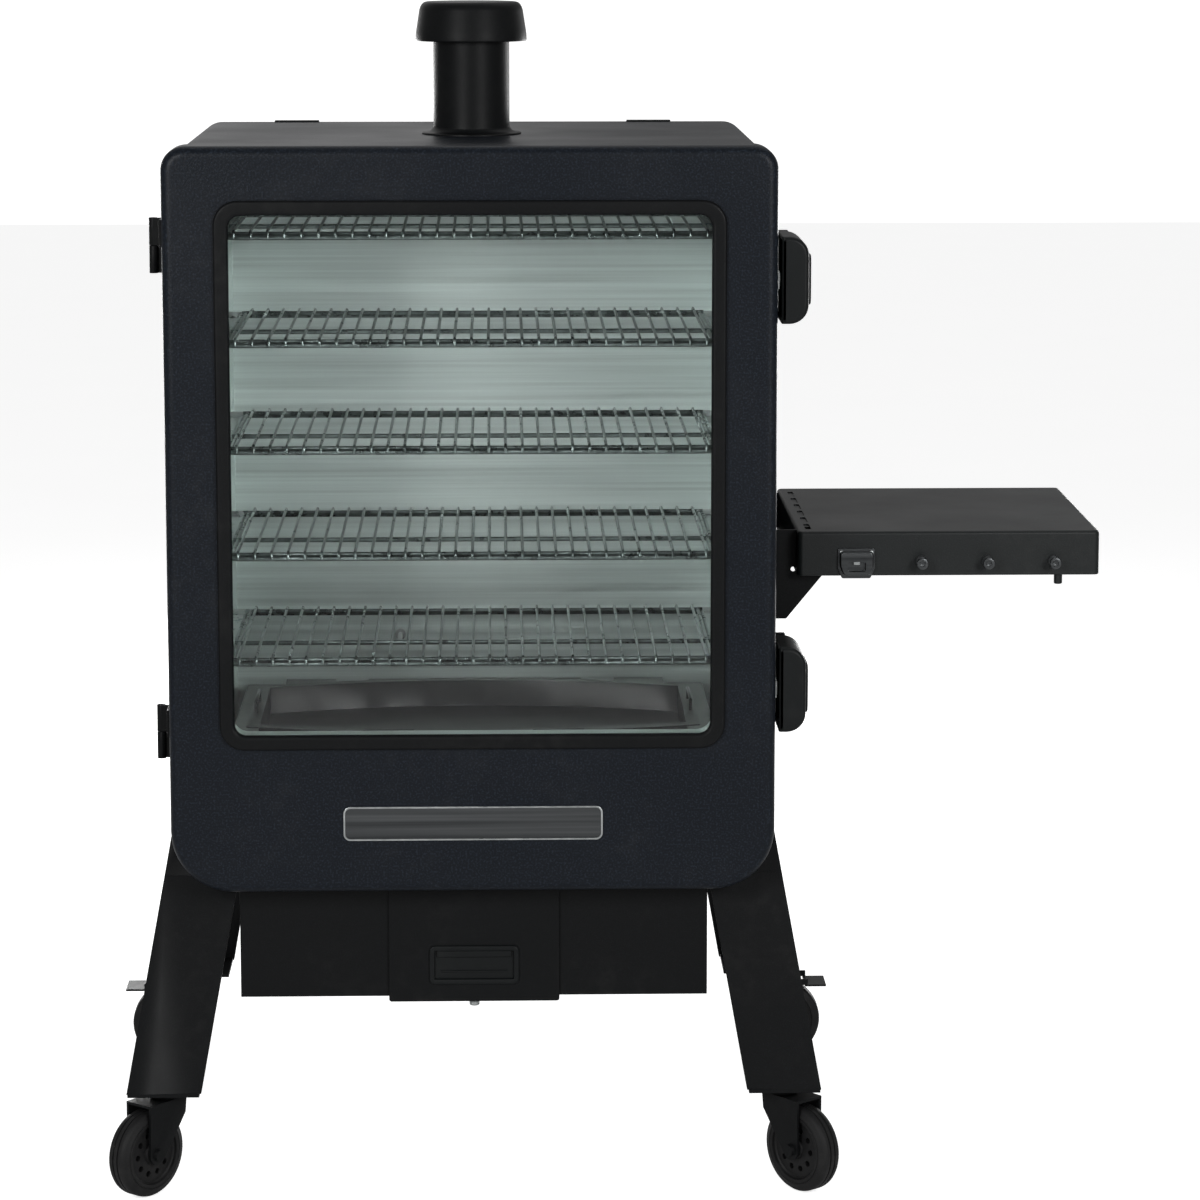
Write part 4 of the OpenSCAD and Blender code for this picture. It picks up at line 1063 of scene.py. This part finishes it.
# ---------------------------------------------------------------- fittings
@dataclass
class Latches:
    """The two moulded paddles on the right side."""

    wardrobe: Wardrobe

    def build(self) -> None:
        """Makes each paddle as a hollow cover with soft edges and a raised panel."""
        for level in ("upper", "lower"):
            node = "latch_paddle_" + level
            lo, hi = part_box(node)
            body = "latch_" + level
            wide = 22 * MM
            cover = rounded(lo.x, hi.x - 3 * MM, lo.z, hi.z, (wide, wide, 2 * MM, 2 * MM), 8)
            back = hi.y - 18 * MM
            soft = quarter(5 * MM, 5)
            wall = 3 * MM
            rows = [at_y(cover, back)]
            rows += [at_y(inset(cover, d), lo.y + h) for d, h in soft[::-1]]
            shell = loft(np.array(rows))
            room = rounded(lo.x - 1 * MM, hi.x - 6 * MM, lo.z + wall, hi.z - wall,
                (wide - wall, wide - wall, 1 * MM, 1 * MM), 8)
            cutter = slab(room, lo.y + wall, back + 5 * MM, 0.5 * MM, at_y)
            mesh = carved(shell, cutter)
            self.wardrobe.show_mesh(f"{node}_cover", mesh, body, node, crease=40)
            middle = (lo.z + hi.z) / 2
            grip = rounded(lo.y + 9 * MM, back - 12 * MM, middle - 29 * MM, middle + 29 * MM, 9 * MM, 6)
            panel = slab(grip, hi.x - 4.5 * MM, hi.x, 1.6 * MM, at_x)
            pin_x, pin_y = lo.x + 8 * MM, hi.y - 8 * MM
            barrel = lathe([(3.2 * MM, 0), (7.4 * MM, 0), (8 * MM, 0.6 * MM), (8 * MM, 86.4 * MM),
                (7.4 * MM, 87 * MM), (3.2 * MM, 87 * MM)],
                (pin_x, pin_y, middle - 43.5 * MM), UP, 32, ring=True)
            web = brick((pin_x - 6 * MM, back - 6 * MM, middle - 43 * MM),
                (pin_x + 6 * MM, pin_y - 5 * MM, middle + 43 * MM), 0.8 * MM)
            self.wardrobe.show(f"{node}_grip", joined(panel, barrel, web), body, node)


@dataclass
class SideShelf:
    """Folded shelf with slots, its opener and hooks."""

    wardrobe: Wardrobe
    sheet: float = 1.5 * MM
    corner: float = 7 * MM
    edge: float = 4 * MM
    apron: float = 53 * MM
    slots: int = 6

    def top(self) -> None:
        """Folded tray upside down: rounded top, apron all round, a row of slots, and hollow below."""
        lo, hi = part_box("shelf_top")
        base = hi.z - self.apron
        loop = rounded(lo.x, hi.x, lo.y, hi.y, self.corner, 7)
        rim = quarter(self.edge, 5)
        rows = [at_z(inset(loop, 1.2 * MM), base), at_z(inset(loop, 0.3 * MM), base + 0.4 * MM),
            at_z(loop, base + 1.4 * MM)]
        rows += [at_z(inset(loop, d), hi.z - h) for d, h in rim[::-1]]
        body = loft(np.array(rows))
        hollow = slab(inset(loop, self.sheet), base - 20 * MM, hi.z - self.sheet, self.edge - self.sheet,
            at_z, 4)
        pitch = (hi.y - lo.y - 40 * MM) / self.slots
        knives = [hollow]
        for k in range(self.slots):
            start = lo.y + 20 * MM + k * pitch
            slot = rounded(lo.x + 11 * MM, lo.x + 18 * MM, start, start + pitch - 12 * MM, 3.4 * MM, 5)
            knives.append(slab(slot, hi.z - 4 * MM, hi.z + 6 * MM, 0.1 * MM, at_z, 1))
        mesh = carved(body, *knives)
        self.wardrobe.show_mesh("shelf_tray", mesh, "cabinet", "shelf_top", crease=20)
        hem = rounded(lo.x + 1 * MM, hi.x - 1 * MM, lo.y + 1 * MM, hi.y - 1 * MM, self.corner - 1 * MM, 7)
        fold = [at_z(inset(hem, d), base + z) for d,
            z in ((0, 0), (12 * MM, 0), (12.6 * MM, 0.6 * MM), (12 * MM, 1.3 * MM), (0.6 * MM, 1.3 * MM))]
        self.wardrobe.show("shelf_hem", loft(np.array(fold), ring=True), "cabinet", "shelf_top")
        post = (hi.x - 48 * MM, lo.y + 9 * MM, lo.z)
        turned = lathe([(3.6 * MM, 0), (4.6 * MM, 0.4 * MM), (5 * MM, 1.4 * MM),
            (5 * MM, self.apron + 8 * MM)], post, UP, 28)
        self.wardrobe.show("shelf_post", turned, "cabinet", "shelf_top")

    def opener(self) -> None:
        """Bottle opener: a pressed plate with a hooded mouth, a tooth and two rivets."""
        lo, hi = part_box("bottle_opener")
        wall = hi.y - 2 * MM
        outline = filleted([(lo.x + 5 * MM, lo.z), (hi.x - 5 * MM, lo.z), (hi.x, lo.z + 12 * MM),
            (hi.x, hi.z), (lo.x, hi.z), (lo.x, lo.z + 12 * MM)], 3 * MM)
        plate = slab(outline, wall - 0.1 * MM, hi.y, 0.7 * MM, at_y)
        hood = filleted([(lo.x + 6 * MM, lo.z + 5 * MM), (hi.x - 6 * MM, lo.z + 5 * MM),
            (hi.x - 2 * MM, lo.z + 16 * MM), (hi.x - 2 * MM, hi.z - 3 * MM),
            (lo.x + 2 * MM, hi.z - 3 * MM), (lo.x + 2 * MM, lo.z + 16 * MM)], 4 * MM)
        cover = slab(hood, lo.y, wall, 2.4 * MM, at_y)
        middle = (lo.x + hi.x) / 2
        mouth = rounded(middle - 11 * MM, middle + 11 * MM, lo.z + 9 * MM, lo.z + 21 * MM, 3 * MM, 5)
        eye = rounded(middle - 4 * MM, middle + 4 * MM, lo.z + 17 * MM, lo.z + 22 * MM, 1.5 * MM, 5)
        knife = slab(mouth, lo.y - 2 * MM, wall - 1.5 * MM, 1 * MM, at_y)
        mesh = carved(cover, knife)
        mesh.materials.clear()
        dark = self.wardrobe.of("dark_steel")
        settle("opener_hood", mesh, "cabinet", "zinc", dark, "bottle_opener")
        tooth = slab(eye, lo.y + 1.5 * MM, wall, 0.8 * MM, at_y)
        heads = [lathe([(2.6 * MM, 0), (2.6 * MM, 0.6 * MM), (1.8 * MM, 1.3 * MM), (0.5 * MM, 1.5 * MM)],
            (x, wall, hi.z - 1.6 * MM - 3 * MM), FORWARD, 20)
            for x in (lo.x + 4 * MM, hi.x - 4 * MM)]
        show("opener_plate", plate, "cabinet", "zinc", dark, "bottle_opener")
        self.wardrobe.show("opener_rivets", joined(tooth, *heads), "cabinet", "bottle_opener")

    def hooks(self) -> None:
        """Three turned knobs: a washer, a slim neck and a rounded, dimpled head."""
        lo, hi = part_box("tool_hooks")
        level = (lo.z + hi.z) / 2
        far = hi.y - lo.y
        head = (hi.z - lo.z) / 2
        profile = [(head, 0), (head, 1.2 * MM), (head - 0.8 * MM, 2 * MM), (3 * MM, 2.2 * MM),
            (3 * MM, far - 4.5 * MM), (head - 1.2 * MM, far - 4 * MM),
            (head, far - 3 * MM), (head, far - 1.2 * MM), (head - 0.7 * MM, far - 0.3 * MM),
            (head - 1.8 * MM, far), (3.6 * MM, far), (3 * MM, far - 0.7 * MM), (0.5 * MM, far - 1.1 * MM)]
        places = np.linspace(lo.x + head, hi.x - head, 3)
        knobs = [lathe(profile, (x, hi.y, level), FORWARD, 36) for x in places]
        show("shelf_knobs", joined(*knobs), "cabinet", "zinc", self.wardrobe.of("dark_steel"), "tool_hooks")

    def build(self) -> None:
        """Makes the shelf and what hangs on it."""
        self.top()
        self.opener()
        self.hooks()


@dataclass
class Drawer:
    """Grease drawer: folded front, recessed pull, tray and plug."""

    wardrobe: Wardrobe

    def build(self) -> None:
        """Makes the front with a rounded border and the pull's bezel round a dark pocket."""
        lo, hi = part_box("drawer_front")
        pull_lo, pull_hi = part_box("drawer_pull")
        face = slab(rounded(lo.x, hi.x, lo.z, hi.z, 3 * MM, 5), lo.y, hi.y, 0.9 * MM, at_y)
        opening = rounded(pull_lo.x + 5.4 * MM, pull_hi.x - 5.4 * MM, pull_lo.z + 5.4 * MM,
            pull_hi.z - 5.4 * MM, 4 * MM, 5)
        knife = slab(opening, lo.y - 3 * MM, hi.y + 3 * MM, 0.2 * MM, at_y)
        self.wardrobe.show_mesh("drawer_face", carved(face, knife), "drawer", "drawer_front")
        rim = rounded(pull_lo.x, pull_hi.x, pull_lo.z, pull_hi.z, 7 * MM, 7)
        front, deep = pull_lo.y, pull_hi.y
        section = ((0, front + 3 * MM), (0, front + 1.6 * MM), (0.5 * MM, front + 0.6 * MM),
            (1.5 * MM, front), (4.6 * MM, front),
            (6 * MM, front + 0.7 * MM), (6.3 * MM, front + 2 * MM), (6.5 * MM, deep - 1.4 * MM),
            (6.8 * MM, deep - 0.9 * MM))
        pocket = loft(np.array([at_y(inset(rim, d), y) for d,
            y in ((5.6 * MM, deep), (5.6 * MM, front + 3 * MM), *section)]))
        middle = (pull_lo.z + pull_hi.z) / 2
        lip = brick((pull_lo.x + 9 * MM, front + 1.2 * MM, pull_hi.z - 14 * MM),
            (pull_hi.x - 9 * MM, front + 3.4 * MM, pull_hi.z - 6.5 * MM), 1 * MM)
        ridge = brick((pull_lo.x + 14 * MM, front + 2.6 * MM, middle - 9 * MM),
            (pull_hi.x - 14 * MM, deep - 0.8 * MM, middle - 7 * MM), 0.5 * MM)
        self.wardrobe.show("drawer_grip", joined(pocket, lip, ridge), "drawer", "drawer_pull")
        lo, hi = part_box("drain_plug")
        round_ = (hi.x - lo.x) / 2
        tall = hi.z - lo.z
        profile = [(round_ - 2 * MM, 0), (round_ - 0.8 * MM, 0.3 * MM), (round_, 1.4 * MM), (round_, 5 * MM),
            (round_ - 1 * MM, 5.6 * MM), (round_ - 1 * MM, 7 * MM),
            (round_, 7.6 * MM), (round_, 12 * MM), (round_ - 1.2 * MM, 13 * MM), (round_ - 1.2 * MM, tall)]
        self.wardrobe.show("grease_plug", lathe(profile, ((lo.x + hi.x) / 2, (lo.y + hi.y) / 2, lo.z), UP,
            36), "drawer", "drain_plug")
        self.wardrobe.soften(0.5 * MM, "drawer_tray")


@dataclass
class Leg:
    """One splayed leg of folded sheet with returns, a foot plate and a head plate."""

    wardrobe: Wardrobe
    end: str
    side: str

    def build(self) -> None:
        """Dresses the CAD leg with broad rounded folds."""
        self.wardrobe.soften(0.9 * MM, f"leg_{self.end}_{self.side}")


@dataclass
class Caster:
    """A swivel caster: fork, tyre on its hub, and on the rear ones a brake pedal."""

    wardrobe: Wardrobe
    end: str
    side: str
    holes: int = 10

    def wheel(self) -> None:
        """Turned tyre with grooved tread on a dished hub with a ring of holes, about its own axle."""
        node = f"caster_wheel_{self.end}_{self.side}"
        joint = next(j for j in frame["joints"] if j["child"] == f"wheel_{self.end}_{self.side}")
        centre, axle = np.array(joint["pos_m"]), np.array(joint["axis"], float)
        radius, half, bore = centre[2], 15 * MM, 4.05 * MM
        shoulder = 6 * MM
        t = np.linspace(0, np.pi / 2, 5)
        crown = [(radius - shoulder + shoulder * math.sin(a),
            -half + 2 * MM + shoulder * (1 - math.cos(a))) for a in t]
        grooves = []
        for middle in (-3.4 * MM, 3.4 * MM):
            grooves += [(radius, middle - 1.1 * MM), (radius - 1.6 * MM, middle - 0.7 * MM),
                (radius - 1.6 * MM, middle + 0.7 * MM), (radius, middle + 1.1 * MM)]
        face = [(bore, -half + 0.6 * MM), (10.5 * MM, -half + 0.6 * MM), (12 * MM, -half + 1.6 * MM),
            (12.6 * MM, -half + 4 * MM), (radius - 18 * MM, -half + 4.6 * MM),
            (radius - 16 * MM, -half + 3.2 * MM), (radius - 15 * MM, -half + 0.4 * MM),
            (radius - 14 * MM, -half), (radius - 11.5 * MM, -half),
            (radius - 11 * MM, -half + 0.8 * MM), (radius - 10.4 * MM, -half + 0.8 * MM),
            (radius - 9.8 * MM, -half + 0.1 * MM), (radius - 8 * MM, -half + 0.4 * MM)]
        near = np.array(face + crown)
        far = near[::-1] * np.array([1, -1])
        profile = np.concatenate([near, grooves, far])
        solid = lathe(profile, (0, 0, 0), UP, 72, ring=True)
        turns = np.radians(np.arange(self.holes) * 360 / self.holes)
        knives = [lathe([(3.6 * MM, -40 * MM), (3.6 * MM, 40 * MM)],
            (24 * MM * math.cos(a), 24 * MM * math.sin(a), 0), UP, 20) for a in turns]
        mesh = carved(solid, *knives)
        sideways = np.cross([0, 0, 1], axle)
        turn = np.stack([sideways, np.array([0, 0, 1.0]), np.cross(sideways, [0, 0, 1.0])], 1)
        points = np.empty(len(mesh.vertices) * 3)
        mesh.vertices.foreach_get("co", points)
        placed = points.reshape(-1, 3) @ turn.T + centre
        mesh.vertices.foreach_set("co", placed.ravel())
        self.wardrobe.show_mesh(node + "_tyre", mesh, f"wheel_{self.end}_{self.side}", node)

    def build(self) -> None:
        """Makes the wheel and dresses the fork and pedal."""
        self.wheel()
        soften(f"caster_fork_{self.end}_{self.side}", self.wardrobe.of("satin_black"), 0.9 * MM)
        if self.end == "rear":
            soften(f"brake_pedal_{self.side}", self.wardrobe.of("black_plastic"), 0.7 * MM)


@dataclass
class RearControls:
    """What is on the rear housing that turns."""

    wardrobe: Wardrobe

    def build(self) -> None:
        """Turned knob with finger flutes and a raised pointer line."""
        lo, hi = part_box("control_knob")
        x, z = (lo.x + hi.x) / 2, (lo.z + hi.z) / 2
        radius = (hi.x - lo.x) / 2
        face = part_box("control_housing")[1].y
        tall = hi.y - face
        shaft, start = 4 * MM, lo.y - face
        t = np.linspace(0, 2 * np.pi, 144, endpoint=False)
        flute = 1 - 0.075 * np.clip(np.cos(12 * t), 0, 1) ** 2
        circle = np.stack([np.cos(t), np.sin(t)], 1)
        stations = ((shaft, start, 0), (shaft, 0.5 * MM, 0), (radius - 0.6 * MM, 0.5 * MM, 1),
            (radius, 1.2 * MM, 1), (radius - 0.6 * MM, tall - 2 * MM, 1),
            (radius - 1.4 * MM, tall - 0.6 * MM, 1), (radius - 3 * MM, tall, 0.6),
            (radius - 5 * MM, tall - 0.4 * MM, 0))
        rows = [np.stack([x + r * c * (1 + k * (flute - 1)), np.full(len(t), face + y),
            z + r * s * (1 + k * (flute - 1))], 1)
            for (r, y, k), (c, s) in ((station, circle.T) for station in stations)]
        pointer = brick((x - 0.9 * MM, face + tall - 1.6 * MM, z + 3 * MM),
            (x + 0.9 * MM, face + tall - 0.1 * MM, z + radius - 3.5 * MM), 0.3 * MM)
        self.wardrobe.show("thermostat_knob", joined(loft(np.array(rows)), pointer), "control_knob",
            "control_knob")


def main() -> None:
    """Builds the studio, then the smoker from its cabinet outwards."""
    logging.basicConfig(level=logging.INFO, format="%(message)s")
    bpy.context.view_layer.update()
    Studio().build()
    wardrobe = Wardrobe()
    Cabinet(wardrobe).build()
    Door(wardrobe).build()
    for number in range(1, 6):
        WireRack(wardrobe, f"rack_{number}").build()
    Flue(wardrobe).build()
    Latches(wardrobe).build()
    SideShelf(wardrobe).build()
    Drawer(wardrobe).build()
    for end in ("front", "rear"):
        for side in ("left", "right"):
            Leg(wardrobe, end, side).build()
            Caster(wardrobe, end, side).build()
    soften("caster_stems", wardrobe.of("zinc"), 0.5 * MM)
    RearControls(wardrobe).build()


if __name__ == "__main__":
    main()
